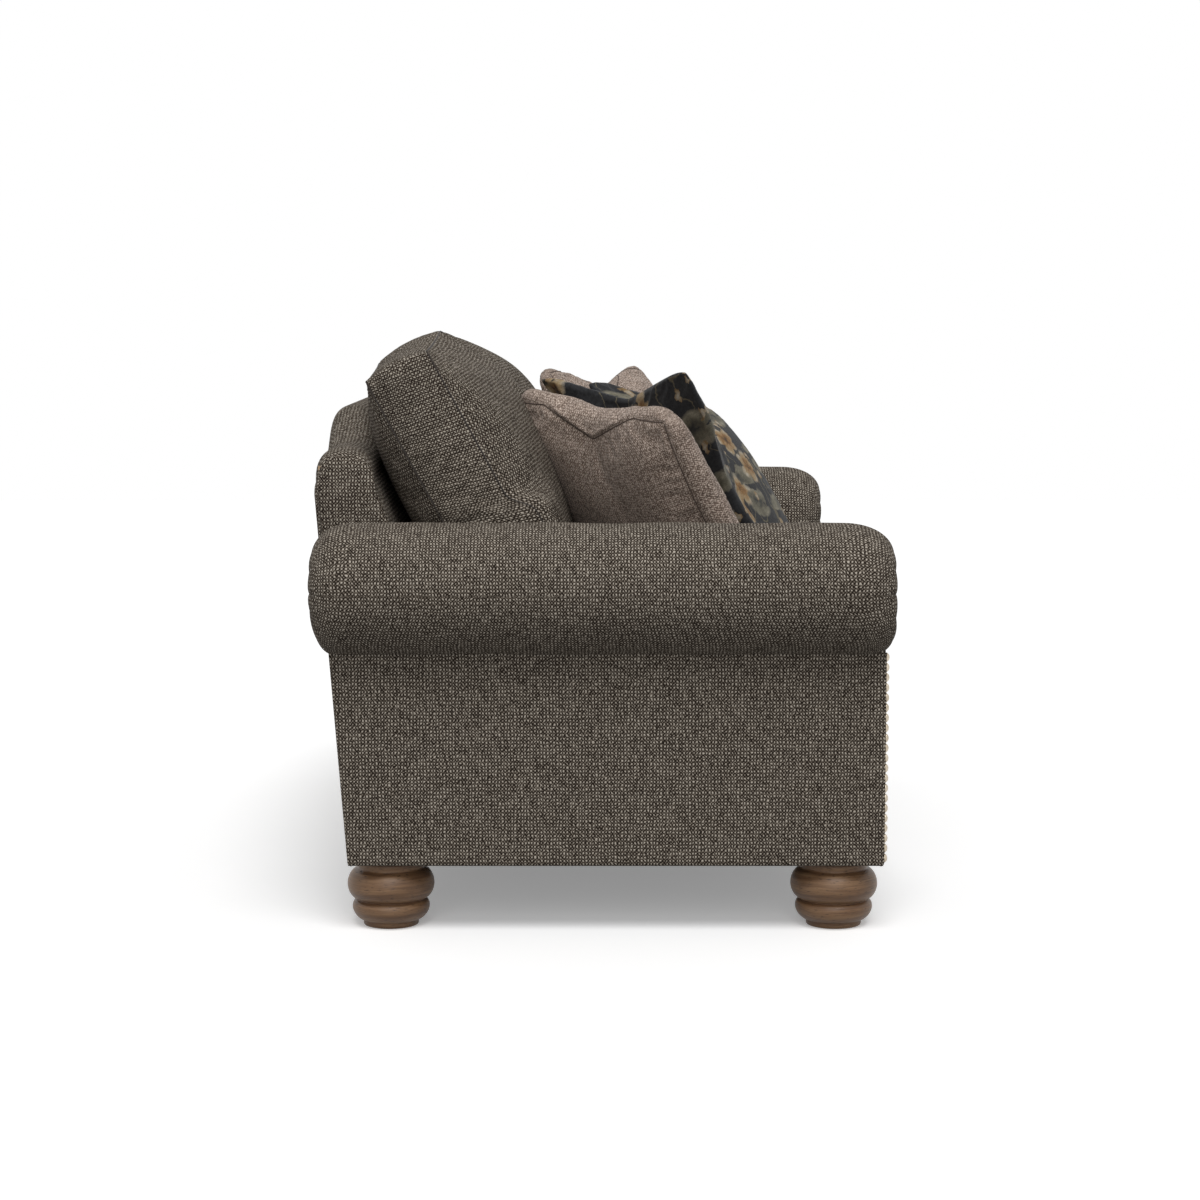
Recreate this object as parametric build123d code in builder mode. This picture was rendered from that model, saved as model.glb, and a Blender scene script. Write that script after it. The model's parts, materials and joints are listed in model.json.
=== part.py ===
from build123d import *
from math import cos, radians, sin, tan
import os

os.makedirs("parts", exist_ok=True)

# Two-seat loveseat in millimetres: X across the width, front towards -Y, Z up from the floor.
# "left" is the -X side. Every fixed piece hangs on the frame sizes below.

# Overall sizes
overall_width = 1750
overall_depth = 990
arm_height = 690
foot_height = 115
hump_height = 868

# Stock and padding thicknesses
stock = 22
cover = 12
arm_pad = 25
back_pad = 30
back_side_wall = 10
deck_thickness = 11
cloth = 2

# Running and seating clearances
seat_gap = 0.3
side_gap = 3
loose_gap = 2

# Rolled arms
roll_radius = 111
roll_face_radius = 60
roll_dome_length = 90
roll_front_overhang = 14
roll_side_overhang = 75
roll_rear_inset = 16
arm_front_top = 520

# Back: the outside leans a little, the inside leans more, the top swells in the middle
back_lean = 4.5
inside_lean = 22
back_top_thickness = 88
back_top_round = 25
back_corner_round = 25
swell_rise = 59
swell_start = 470
swell_run = 200
arm_rear_step = 18
return_width = 12

# Seat
border_setback = 10
deck_height = 360
seat_boxing = 145
seat_crown = 13
seat_front_setback = 13
seat_front_bulge = 9
seat_rear_bulge = 4
seat_draw_in = 5

# Soft ends: over this share of its length a cushion falls off to this share of its fullness
end_run = 0.15
end_share = 0.3

# Frame rails
base_rail_height = 70
seat_rail_height = 70
tack_rail_height = 40
top_rail_height = 110
foot_block_length = 100
foot_block_height = 40

# Springs, clips and webbing
wire = 3.8
spring_count = 8
spring_spacing = 150
spring_run = 24
spring_pitch = 28
clip_width = 16
clip_depth = 12
clip_wall = 1
wire_fit = 0.1
webbing_count = 4
webbing_width = 50
webbing_pitch = 75
webbing_start = 395

# Feet and their fixings
foot_side_inset = 80
foot_front_inset = 78
foot_rear_inset = 67
foot_base_radius = 47
foot_base_height = 9
foot_low_radius = 65
foot_groove_radius = 58
foot_groove_height = 45
foot_ball_radius = 74
foot_neck_radius = 57
foot_neck_height = 17
bolt_diameter = 8
bolt_fit = 0.2
bolt_foot_depth = 36
bolt_top_stand = 6
tnut_barrel = 10
tnut_barrel_length = 12
tnut_flange = 22
tnut_flange_thickness = 1.5

# Dome nails down the arm fronts
nail_diameter = 16
nail_dome = 5
nail_pitch = 17
nail_edge_inset = 10
nail_bottom_inset = 13
nail_shank = 2.5
nail_shank_length = 9
nail_fit = 0.1

# Back cushions: a leaning box seen from the side, set by the back's shoulders and inner face.
# The front is fullest near the top, and most so towards the inner end.
cushion_lean = 28
cushion_boxing = 116
cushion_top_drop = 53
cushion_top_rise = 165
cushion_back_room = 56
cushion_inner_rise = 26
cushion_inner_shift = 14
cushion_front_crown = 92
cushion_crown_place = 0.27
cushion_top_crown = 12
cushion_rear_crown = 42
cushion_stations = ((0, 0.45), (0.15, 0.78), (0.5, 0.74), (0.78, 1), (1, 0.5))

# What fills the cushions: foam blocks and fibre inserts, with the wrap that keeps them off the cover
fill_wrap = 14
fill_gap = 0.3
back_fill_inset = 34
insert_share = 0.88
insert_top_share = 0.68
insert_rise = 0.6

# Throw pillows: place, turn and size of each
taupe_size = 446
flower_size = 484
pillow_free_depth = 78
pillow_pressed_depth = 56
pillow_dip = 58
pillow_dip_shape = 0.62
pillow_draw_in = 16
edge_steps = 10
flange_width = 37
flange_thickness = 4
pillow_rises = ((0, 1), (0.5, 0.84), (0.84, 0.58), (1, 0.2))
left_taupe = dict(x=-430, forward=308, yaw=-53, lean=35, roll=2.5)
left_flower = dict(x=-293, forward=380, yaw=-55, lean=36, roll=-4.5)
right_taupe = dict(x=430, forward=306, yaw=-118, lean=28.6, roll=-0.7)
right_flower = dict(x=293, forward=428, yaw=-116, lean=36, roll=0)
left_edge_dip = 28
right_edge_dip = 54

# Places worked out from the sizes above
front_y = -overall_depth / 2
shoulder_height = hump_height - swell_rise
arm_front_y = front_y + roll_front_overhang
stump_front_y = arm_front_y + cover
stump_rear_y = stump_front_y + stock
roll_x = overall_width / 2 - roll_radius
roll_z = arm_height - roll_radius
arm_inner = roll_x - roll_radius
arm_outer = overall_width / 2 - roll_side_overhang
frame_inner = arm_inner + arm_pad
frame_outer = arm_outer - cover
back_half = arm_inner - side_gap
post_outer = back_half - back_side_wall
post_inner = post_outer - stock
frame_bottom = foot_height + cloth
base_rail_top = frame_bottom + base_rail_height
arm_board_top = roll_z - seat_gap
arm_board_bottom = arm_board_top - stock
panel_top = roll_z - roll_radius + cloth
rear_base_y = overall_depth / 2 - (hump_height - back_top_round - foot_height) * tan(radians(back_lean))
roll_rear_y = overall_depth / 2 - roll_rear_inset
deck_bottom = deck_height - deck_thickness
spring_z = deck_bottom - clip_wall - 2 * wire_fit - wire / 2
rail_top = spring_z - wire / 2
border_front_y = arm_front_y + border_setback
rail_front_y = border_front_y + cover
rail_rear_y = rail_front_y + stock
top_rail_bottom = shoulder_height - top_rail_height
foot_x = arm_outer - foot_side_inset
foot_block_top = frame_bottom + foot_block_height
sides = (("left", -1), ("right", 1))


def rear_y(z):
    """Rear face of the back at height z."""
    return rear_base_y + (z - foot_height) * tan(radians(back_lean))


def arm_rear_y(z):
    """Rear face of the arms at height z."""
    return rear_y(z) - arm_rear_step


def inside_y(z):
    """Padded inner face of the back at height z."""
    top_y = rear_y(shoulder_height) - back_top_thickness
    return top_y - (shoulder_height - z) * tan(radians(inside_lean))


def frame_rear_y(z):
    """Front of the rear boards of the back at height z."""
    return rear_y(z) - cover - stock


def stump_back_y(z):
    """Front of the rear arm stumps at height z."""
    return arm_rear_y(z) - cover - stock


post_front_y = inside_y(rail_top) + back_pad + cloth
foot_front_y = arm_front_y + foot_front_inset
foot_rear_y = arm_rear_y(foot_height) - foot_rear_inset
foot_places = {
    "front_left_foot": (-foot_x, foot_front_y),
    "front_right_foot": (foot_x, foot_front_y),
    "rear_left_foot": (-foot_x, foot_rear_y),
    "rear_right_foot": (foot_x, foot_rear_y),
}


def save(piece, name):
    """Label a finished piece and write its file."""
    piece.part.label = name
    export_step(piece.part, f"parts/{name}.step")


def side_plane(x):
    """Plane seen from the side at x: its own x runs to the rear, its own y runs up."""
    return Plane(origin=(x, 0, 0), x_dir=(0, 1, 0), z_dir=(1, 0, 0))


def slab(x0, x1, y0, y1, z0, z1, mode=Mode.ADD):
    """Square block between two corners."""
    with Locations(((x0 + x1) / 2, (y0 + y1) / 2, (z0 + z1) / 2)):
        Box(abs(x1 - x0), abs(y1 - y0), abs(z1 - z0), mode=mode)


def profile_bar(points, x0, x1, mode=Mode.ADD):
    """Side outline carried across from x0 to x1."""
    low = min(x0, x1)
    with BuildSketch(side_plane(low)) as outline:
        Polygon(*points, align=None)
    extrude(outline.sketch, amount=abs(x1 - x0), mode=mode)


def upright(z0, z1, near, far):
    """Side outline between two level-measured faces, each given as a function of height."""
    return [(near(z0), z0), (far(z0), z0), (far(z1), z1), (near(z1), z1)]


def camel_face(half_width, shoulder, hump, bottom, corner):
    """Front outline of the back: level shoulders and a swell in the middle."""
    with BuildSketch(Plane.XZ) as outline:
        with BuildLine():
            Line((0, bottom), (-half_width, bottom))
            Line((-half_width, bottom), (-half_width, shoulder - corner))
            TangentArc(
                (-half_width, shoulder - corner), (-half_width + corner, shoulder), tangent=(0, 1)
            )
            Line((-half_width + corner, shoulder), (-swell_start, shoulder))
            rise_mid = (-swell_start + swell_run / 2, (shoulder + hump) / 2)
            rising = TangentArc((-swell_start, shoulder), rise_mid, tangent=(1, 0))
            TangentArc(rise_mid, (-swell_start + swell_run, hump), tangent=rising % 1)
            Line((-swell_start + swell_run, hump), (0, hump))
            mirror(about=Plane.YZ)
        make_face()
    return outline.sketch


# Turned bun feet, each bored for its hanger bolt
low_z = (foot_base_height + foot_groove_height) / 2
neck_z = foot_height - foot_neck_height
ball_z = (foot_groove_height + neck_z) / 2
for name, (x, y) in foot_places.items():
    with BuildPart() as foot:
        with BuildSketch(Plane(origin=(x, y, 0), x_dir=(1, 0, 0), z_dir=(0, -1, 0))):
            with BuildLine():
                Line((0, foot_height), (0, 0))
                Line((0, 0), (foot_base_radius, 0))
                Line((foot_base_radius, 0), (foot_base_radius, foot_base_height))
                ThreePointArc(
                    (foot_base_radius, foot_base_height),
                    (foot_low_radius, low_z),
                    (foot_groove_radius, foot_groove_height),
                )
                ThreePointArc(
                    (foot_groove_radius, foot_groove_height),
                    (foot_ball_radius, ball_z),
                    (foot_neck_radius, neck_z),
                )
                Line((foot_neck_radius, neck_z), (foot_neck_radius, foot_height))
                Line((foot_neck_radius, foot_height), (0, foot_height))
            make_face()
        revolve(axis=Axis((x, y, 0), (0, 0, 1)))
        with Locations((x, y, foot_height)):
            Hole((bolt_diameter + bolt_fit) / 2, depth=bolt_foot_depth)
    save(foot, name)

# Hanger bolts run from the feet up through the foot blocks
bolt_bottom = foot_height - bolt_foot_depth
bolt_length = foot_block_top + bolt_top_stand - bolt_bottom
with BuildPart() as hanger_bolts:
    with Locations(*[(x, y, bolt_bottom) for x, y in foot_places.values()]):
        Cylinder(bolt_diameter / 2, bolt_length, align=(Align.CENTER, Align.CENTER, Align.MIN))
save(hanger_bolts, "hanger_bolts")

with BuildPart() as t_nuts:
    with Locations(*[(x, y, foot_block_top) for x, y in foot_places.values()]):
        Cylinder(
            tnut_flange / 2, tnut_flange_thickness, align=(Align.CENTER, Align.CENTER, Align.MIN)
        )
        Cylinder(
            tnut_barrel / 2, tnut_barrel_length, align=(Align.CENTER, Align.CENTER, Align.MAX)
        )
        Hole((bolt_diameter + bolt_fit) / 2)
save(t_nuts, "t_nuts")

# Foot blocks tie the side rails to the stumps and take the T-nuts
front_block = [
    (stump_rear_y, frame_bottom),
    (stump_rear_y + foot_block_length, frame_bottom),
    (stump_rear_y + foot_block_length, foot_block_top),
    (stump_rear_y, foot_block_top),
]
rear_block = upright(
    frame_bottom, foot_block_top, lambda z: stump_back_y(foot_height) - foot_block_length, stump_back_y
)
with BuildPart() as foot_blocks:
    for _, sign in sides:
        for outline in (front_block, rear_block):
            profile_bar(outline, sign * frame_inner, sign * (frame_outer - stock))
    with Locations(*[(x, y, foot_block_top) for x, y in foot_places.values()]):
        Hole((tnut_barrel + bolt_fit) / 2, depth=foot_block_height)
save(foot_blocks, "foot_blocks")

# Frame rails across the width
with BuildPart() as front_rail:
    slab(-frame_inner, frame_inner, rail_front_y, rail_rear_y, frame_bottom, rail_top)
save(front_rail, "front_rail")

with BuildPart() as rear_rail:
    outline = upright(frame_bottom, base_rail_top, frame_rear_y, lambda z: rear_y(z) - cover)
    profile_bar(outline, -post_inner, post_inner)
save(rear_rail, "rear_rail")

with BuildPart() as seat_back_rail:
    slab(
        -post_inner, post_inner, post_front_y, post_front_y + stock, rail_top - seat_rail_height, rail_top
    )
save(seat_back_rail, "seat_back_rail")

with BuildPart() as centre_rail:
    outline = upright(frame_bottom, base_rail_top, lambda z: rail_rear_y, frame_rear_y)
    profile_bar(outline, -stock / 2, stock / 2)
save(centre_rail, "centre_rail")

# Upright posts of the back: their front edges lie behind the webbing
post_top = shoulder_height - back_pad - cloth


def post_face_y(z):
    """Front edge of the back posts at height z."""
    return inside_y(z) + back_pad + cloth


post_outline = [
    (post_front_y, frame_bottom),
    (rear_y(frame_bottom) - cover, frame_bottom),
    (rear_y(post_top) - cover, post_top),
    (post_face_y(post_top), post_top),
    (post_front_y, rail_top),
]
centre_outline = [
    (post_front_y + stock, base_rail_top),
    (rear_y(base_rail_top) - cover, base_rail_top),
    (rear_y(top_rail_bottom) - cover, top_rail_bottom),
    (post_face_y(top_rail_bottom), top_rail_bottom),
    (post_front_y, rail_top),
    (post_front_y + stock, rail_top),
]
for side, sign in sides:
    with BuildPart() as back_post:
        profile_bar(post_outline, sign * post_inner, sign * post_outer)
    save(back_post, f"{side}_back_post")

with BuildPart() as centre_back_post:
    profile_bar(centre_outline, -stock / 2, stock / 2)
save(centre_back_post, "centre_back_post")

# Camel-shaped top rail between the posts
with BuildPart() as back_top_rail:
    rail_face = camel_face(
        post_inner,
        shoulder_height - back_pad - cloth,
        hump_height - back_pad - cloth,
        top_rail_bottom,
        cloth,
    )
    extrude(rail_face, amount=overall_depth, both=True)
    outline = upright(top_rail_bottom, hump_height, frame_rear_y, lambda z: rear_y(z) - cover)
    profile_bar(outline, -overall_width, overall_width, mode=Mode.INTERSECT)
save(back_top_rail, "back_top_rail")

# Arm frames: front stump, rear stump, side rail, arm board and tack rail
for side, sign in sides:
    with BuildPart() as front_stump:
        slab(
            sign * frame_inner,
            sign * frame_outer,
            stump_front_y,
            stump_rear_y,
            frame_bottom,
            arm_board_bottom,
        )
    save(front_stump, f"{side}_front_stump")

    with BuildPart() as rear_stump:
        outline = upright(
            frame_bottom, arm_board_bottom, stump_back_y, lambda z: arm_rear_y(z) - cover
        )
        profile_bar(outline, sign * post_outer, sign * frame_outer)
    save(rear_stump, f"{side}_rear_stump")

    with BuildPart() as side_rail:
        outline = upright(frame_bottom, base_rail_top, lambda z: stump_rear_y, stump_back_y)
        profile_bar(outline, sign * (frame_outer - stock), sign * frame_outer)
    save(side_rail, f"{side}_side_rail")

    with BuildPart() as arm_board:
        outline = upright(
            arm_board_bottom, arm_board_top, lambda z: stump_front_y, lambda z: arm_rear_y(z) - cover
        )
        profile_bar(outline, sign * frame_inner, sign * frame_outer)
    save(arm_board, f"{side}_arm_board")

pad_bottom = rail_top + seat_gap
with BuildPart() as arm_tack_rails:
    outline = upright(pad_bottom, pad_bottom + tack_rail_height, lambda z: stump_rear_y, stump_back_y)
    for _, sign in sides:
        profile_bar(outline, sign * frame_inner, sign * (frame_inner + stock))
save(arm_tack_rails, "arm_tack_rails")

# Zigzag seat springs lie on the front rail and the seat back rail, held by clips
spring_front_y = (rail_front_y + rail_rear_y) / 2
spring_rear_y = post_front_y + stock / 2
spring_turns = round((spring_rear_y - spring_front_y) / spring_pitch)
spring_step = (spring_rear_y - spring_front_y) / spring_turns
spring_xs = [(i - (spring_count - 1) / 2) * spring_spacing for i in range(spring_count)]


def zigzag_spring():
    """One spring about x = 0: straight runs joined by half turns."""
    with BuildPart() as spring:
        with BuildLine(Plane.XY.offset(spring_z)) as path:
            for i in range(spring_turns + 1):
                y = spring_front_y + i * spring_step
                start = -spring_run / 2 if i % 2 == 0 else spring_run / 2
                Line((start, y), (-start, y))
                if i < spring_turns:
                    bend = -start + (spring_step / 2 if start < 0 else -spring_step / 2)
                    ThreePointArc((-start, y), (bend, y + spring_step / 2), (-start, y + spring_step))
        with BuildSketch(Plane(origin=path.line @ 0, z_dir=path.line % 0)):
            Circle(wire / 2)
        sweep()
    return spring.part


one_spring = zigzag_spring()
with BuildPart() as seat_springs:
    with Locations(*[(x, 0, 0) for x in spring_xs]):
        add(one_spring)
save(seat_springs, "seat_springs")

clip_places = [(x, y, rail_top) for x in spring_xs for y in (spring_front_y, spring_rear_y)]
with BuildPart() as spring_clips:
    with Locations(*clip_places):
        Box(
            clip_width,
            clip_depth,
            wire + wire_fit + clip_wall,
            align=(Align.CENTER, Align.CENTER, Align.MIN),
        )
    with Locations(*[(x, y, spring_z) for x, y, _ in clip_places]):
        Cylinder(
            wire / 2 + wire_fit / 2, 2 * clip_width, rotation=(0, 90, 0), mode=Mode.SUBTRACT
        )
save(spring_clips, "spring_clips")

# Elastic webbing across the back posts
with BuildPart() as back_webbing:
    for i in range(webbing_count):
        low = webbing_start + i * webbing_pitch
        outline = upright(
            low, low + webbing_width, lambda z: inside_y(z) + back_pad, post_face_y
        )
        profile_bar(outline, -post_outer, post_outer)
save(back_webbing, "back_webbing")


# Inside back: a padded shell over the frame that wraps the camel top
def back_cavity():
    """Room for the frame inside the padded back."""
    with BuildPart() as cavity:
        hollow = camel_face(post_outer, shoulder_height - back_pad, hump_height - back_pad, 0, cloth)
        extrude(hollow, amount=overall_depth, both=True)
        outline = upright(0, hump_height, lambda z: inside_y(z) + back_pad, lambda z: overall_depth)
        profile_bar(outline, -overall_width, overall_width, mode=Mode.INTERSECT)
    return cavity.part


with BuildPart() as inside_back:
    extrude(
        camel_face(back_half, shoulder_height, hump_height, deck_bottom, back_corner_round),
        amount=overall_depth,
        both=True,
    )
    outline = upright(deck_bottom, hump_height + back_pad, inside_y, lambda z: rear_y(z) - cover)
    profile_bar(outline, -overall_width, overall_width, mode=Mode.INTERSECT)
    top_edges = inside_back.edges().filter_by(
        lambda e: e.center().Z > shoulder_height - back_corner_round and abs((e % 0.5).Y) < 0.5
    )
    fillet(top_edges, radius=back_top_round)
    add(back_cavity(), mode=Mode.SUBTRACT)
    stump_slot = upright(
        0, arm_board_bottom + seat_gap, stump_back_y, lambda z: overall_depth
    )
    for _, sign in sides:
        profile_bar(stump_slot, sign * post_inner, sign * overall_width, mode=Mode.SUBTRACT)
save(inside_back, "inside_back")

# Outside back: camel panel, with lower wings that close the backs of the arms
with BuildPart() as outside_back:
    extrude(
        camel_face(
            back_half,
            shoulder_height - back_top_round,
            hump_height - back_top_round,
            foot_height,
            back_corner_round,
        ),
        amount=overall_depth,
        both=True,
    )
    outline = upright(foot_height, hump_height, lambda z: rear_y(z) - cover, rear_y)
    profile_bar(outline, -overall_width, overall_width, mode=Mode.INTERSECT)
    wing = upright(foot_height, panel_top, lambda z: arm_rear_y(z) - cover, arm_rear_y)
    wing_return = upright(foot_height, panel_top, lambda z: arm_rear_y(z) - cover, rear_y)
    for _, sign in sides:
        profile_bar(wing, sign * back_half, sign * arm_outer)
        profile_bar(wing_return, sign * back_half, sign * (back_half + return_width))
save(outside_back, "outside_back")

# Padded covers of the arms
for side, sign in sides:
    with BuildPart() as outside_arm:
        outline = upright(
            foot_height, panel_top, lambda z: stump_front_y, lambda z: arm_rear_y(z) - cover
        )
        profile_bar(outline, sign * frame_outer, sign * arm_outer)
    save(outside_arm, f"{side}_outside_arm")

    with BuildPart() as inside_arm:
        outline = upright(pad_bottom, arm_board_top, lambda z: stump_front_y, stump_back_y)
        profile_bar(outline, sign * arm_inner, sign * frame_inner)
    save(inside_arm, f"{side}_inside_arm")

    with BuildPart() as arm_roll:
        with BuildSketch(Plane(origin=(sign * roll_x, 0, roll_z), x_dir=(0, 1, 0), z_dir=(1, 0, 0))):
            with BuildLine():
                Line((roll_rear_y, 0), (front_y, 0))
                Line((front_y, 0), (front_y, roll_face_radius))
                TangentArc(
                    (front_y + roll_dome_length, roll_radius), (front_y, roll_face_radius), tangent=(-1, 0)
                )
                Line(
                    (front_y + roll_dome_length, roll_radius), (roll_rear_y - roll_dome_length, roll_radius)
                )
                TangentArc(
                    (roll_rear_y - roll_dome_length, roll_radius),
                    (roll_rear_y, roll_face_radius),
                    tangent=(1, 0),
                )
                Line((roll_rear_y, roll_face_radius), (roll_rear_y, 0))
            make_face()
        revolve(axis=Axis((sign * roll_x, 0, roll_z), (0, 1, 0)))
        slab(
            sign * (arm_inner - roll_radius),
            sign * frame_outer,
            stump_front_y,
            arm_rear_y(arm_board_top) - cover + seat_gap,
            0,
            arm_board_top,
            mode=Mode.SUBTRACT,
        )
    save(arm_roll, f"{side}_arm_roll")

# Arm fronts with their dome nails
nail_low = foot_height + nail_bottom_inset
outer_nails = int((panel_top - nail_diameter / 2 - nail_low) / nail_pitch) + 1
inner_nails = int((arm_front_top - nail_diameter / 2 - nail_low) / nail_pitch) + 1
nail_rows = ((arm_outer - nail_edge_inset, outer_nails), (arm_inner + nail_edge_inset, inner_nails))


def dome_nail():
    """Nail with a domed head, its head's flat on y = 0 and its shank towards +Y."""
    with BuildPart() as nail:
        with BuildSketch(Plane.XY):
            with BuildLine():
                Line((0, nail_shank_length), (0, -nail_dome))
                TangentArc((0, -nail_dome), (nail_diameter / 2, 0), tangent=(1, 0))
                Line((nail_diameter / 2, 0), (nail_shank / 2, 0))
                Line((nail_shank / 2, 0), (nail_shank / 2, nail_shank_length))
                Line((nail_shank / 2, nail_shank_length), (0, nail_shank_length))
            make_face()
        revolve(axis=Axis.Y)
    return nail.part


one_nail = dome_nail()
for side, sign in sides:
    nail_places = [
        (sign * x, arm_front_y, nail_low + i * nail_pitch) for x, count in nail_rows for i in range(count)
    ]
    with BuildPart() as arm_front:
        slab(
            sign * arm_inner, sign * arm_outer, arm_front_y, stump_front_y, foot_height, arm_front_top
        )
        with Locations((sign * roll_x, arm_front_y, roll_z)):
            Cylinder(
                roll_radius + seat_gap, 4 * cover, rotation=(90, 0, 0), mode=Mode.SUBTRACT
            )
        with Locations(*nail_places):
            Cylinder(
                nail_shank / 2 + nail_fit,
                2 * nail_shank_length + nail_fit,
                rotation=(90, 0, 0),
                mode=Mode.SUBTRACT,
            )
    save(arm_front, f"{side}_arm_front")

    with BuildPart() as nailheads:
        with Locations(*nail_places):
            add(one_nail)
    save(nailheads, f"{side}_nailheads")

# Front border, seat deck and dust cover
with BuildPart() as front_border:
    slab(-arm_inner, arm_inner, border_front_y, rail_front_y, foot_height, deck_bottom)
save(front_border, "front_border")

with BuildPart() as seat_deck:
    outline = upright(
        deck_bottom, deck_height, lambda z: border_front_y, lambda z: inside_y(z) - seat_gap
    )
    profile_bar(outline, -arm_inner + seat_gap, arm_inner - seat_gap)
save(seat_deck, "seat_deck")

with BuildPart() as dust_cover:
    slab(
        -frame_outer,
        frame_outer,
        rail_front_y,
        arm_rear_y(foot_height) - cover,
        foot_height,
        frame_bottom,
    )
    with Locations(*[(x, y, foot_height) for x, y in foot_places.values()]):
        Cylinder(bolt_diameter / 2 + bolt_fit, 4 * cloth, mode=Mode.SUBTRACT)
save(dust_cover, "dust_cover")

# Seat cushions: crowned boxes with drawn-in front seams
seat_inner_x = loose_gap / 2
seat_outer_x = arm_inner - loose_gap
seat_bottom = deck_height + seat_gap
seat_seam = seat_bottom + seat_boxing
seat_front_y = arm_front_y + seat_front_setback
seat_rear_y = inside_y(deck_height) - seat_rear_bulge - loose_gap
station_shares = ((0, end_share), (end_run, 1), (1 - end_run, 1), (1, end_share))


def seat_top_z(x, y):
    """Height of a seat cushion's crown at x and y."""
    along = (abs(x) - seat_inner_x) / (seat_outer_x - seat_inner_x)
    share = min(1, end_share + (1 - end_share) * min(along, 1 - along) / end_run)
    middle = (seat_front_y + seat_rear_y) / 2
    half = (seat_rear_y - seat_front_y) / 2
    return seat_seam + seat_crown * share * (1 - ((y - middle) / half) ** 2)


def seat_solid(sign):
    """Seat cushion lofted across its width."""
    with BuildPart() as solid:
        for along, share in station_shares:
            front = seat_front_y + seat_draw_in * share
            middle = (seat_bottom + seat_seam) / 2
            crown = ((front + seat_rear_y) / 2, seat_seam + seat_crown * share)
            x = seat_inner_x + along * (seat_outer_x - seat_inner_x)
            with BuildSketch(side_plane(sign * x)):
                with BuildLine():
                    Line((front, seat_bottom), (seat_rear_y, seat_bottom))
                    ThreePointArc(
                        (seat_rear_y, seat_bottom),
                        (seat_rear_y + seat_rear_bulge * share, middle),
                        (seat_rear_y, seat_seam),
                    )
                    ThreePointArc((seat_rear_y, seat_seam), crown, (front, seat_seam))
                    ThreePointArc(
                        (front, seat_seam), (front - seat_front_bulge * share, middle), (front, seat_bottom)
                    )
                make_face()
        loft(ruled=True)
    return solid.part


def seat_block(sign, gap, mode=Mode.ADD):
    """Foam block of a seat cushion, or with a gap the room it lies in."""
    slab(
        sign * (seat_inner_x + fill_wrap - gap),
        sign * (seat_outer_x - fill_wrap + gap),
        seat_front_y + seat_draw_in + fill_wrap - gap,
        seat_rear_y - fill_wrap + gap,
        seat_bottom + fill_wrap - gap,
        seat_seam - fill_wrap + gap,
        mode=mode,
    )


for side, sign in sides:
    with BuildPart() as seat_cover:
        add(seat_solid(sign))
        seat_block(sign, fill_gap, mode=Mode.SUBTRACT)
    save(seat_cover, f"{side}_seat_cover")

    with BuildPart() as seat_core:
        seat_block(sign, 0)
    save(seat_core, f"{side}_seat_core")

# Back cushions: leaning boxes that stand on the seat, higher at their inner ends
slope = tan(radians(cushion_lean))


def cushion_corners(along):
    """Corners seen from the side, from the outer end (0) to the inner end (1)."""
    outer_z = shoulder_height + cushion_top_rise
    depth = cushion_boxing * cos(radians(cushion_lean))
    outer_y = inside_y(outer_z - cushion_top_drop) - cushion_back_room - depth
    top_y = outer_y + cushion_inner_shift * along
    top_z = outer_z + cushion_inner_rise * along
    back_y = top_y + depth + cushion_inner_shift * along
    back_z = top_z - cushion_top_drop - cushion_inner_shift * along
    foot_y = top_y - (top_z - seat_seam) * slope
    foot_z = seat_top_z((seat_inner_x + seat_outer_x) / 2, foot_y) + seat_gap
    heel_y = back_y - (back_z - foot_z) * slope
    return [Vector(foot_y, foot_z), Vector(heel_y, foot_z), Vector(back_y, back_z), Vector(top_y, top_z)]


def bowed(start, end, bow):
    """Middle point of an edge pushed out to its right by the bow."""
    direction = (end - start).normalized()
    return (start + end) * 0.5 + Vector(direction.Y, -direction.X) * bow


cushion_outer_x = back_half - loose_gap
cushion_inner_x = seat_inner_x


def cushion_solid(sign):
    """Back cushion lofted from its outer to its inner end."""
    with BuildPart() as solid:
        for along, fullness in cushion_stations:
            foot, heel, back, top = cushion_corners(along)
            down = (foot - top).normalized()
            place = top + (foot - top) * cushion_crown_place
            crown = place + Vector(down.Y, -down.X) * (cushion_front_crown * fullness)
            x = cushion_outer_x + along * (cushion_inner_x - cushion_outer_x)
            with BuildSketch(side_plane(sign * x)):
                with BuildLine():
                    Line(foot, heel)
                    ThreePointArc(heel, bowed(heel, back, cushion_rear_crown * fullness), back)
                    ThreePointArc(back, bowed(back, top, cushion_top_crown * fullness), top)
                    TangentArc(crown, top, tangent=-down)
                    TangentArc(crown, foot, tangent=down)
                make_face()
        loft(ruled=True)
    return solid.part


def cushion_fill(sign, gap, mode=Mode.ADD):
    """Fibre insert of a back cushion, or with a gap the room it lies in."""
    corners = cushion_corners(0.5)
    centre = sum(corners, Vector()) * 0.25
    reach = back_fill_inset - 2 * gap
    outline = [corner + (centre - corner).normalized() * reach for corner in corners]
    profile_bar(
        [(corner.X, corner.Y) for corner in outline],
        sign * (cushion_outer_x - fill_wrap + gap),
        sign * (cushion_inner_x + fill_wrap - gap),
        mode=mode,
    )


for side, sign in sides:
    with BuildPart() as back_cover:
        add(cushion_solid(sign))
        cushion_fill(sign, fill_gap, mode=Mode.SUBTRACT)
    save(back_cover, f"{side}_back_cover")

    with BuildPart() as back_core:
        cushion_fill(sign, 0)
    save(back_core, f"{side}_back_core")


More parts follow.
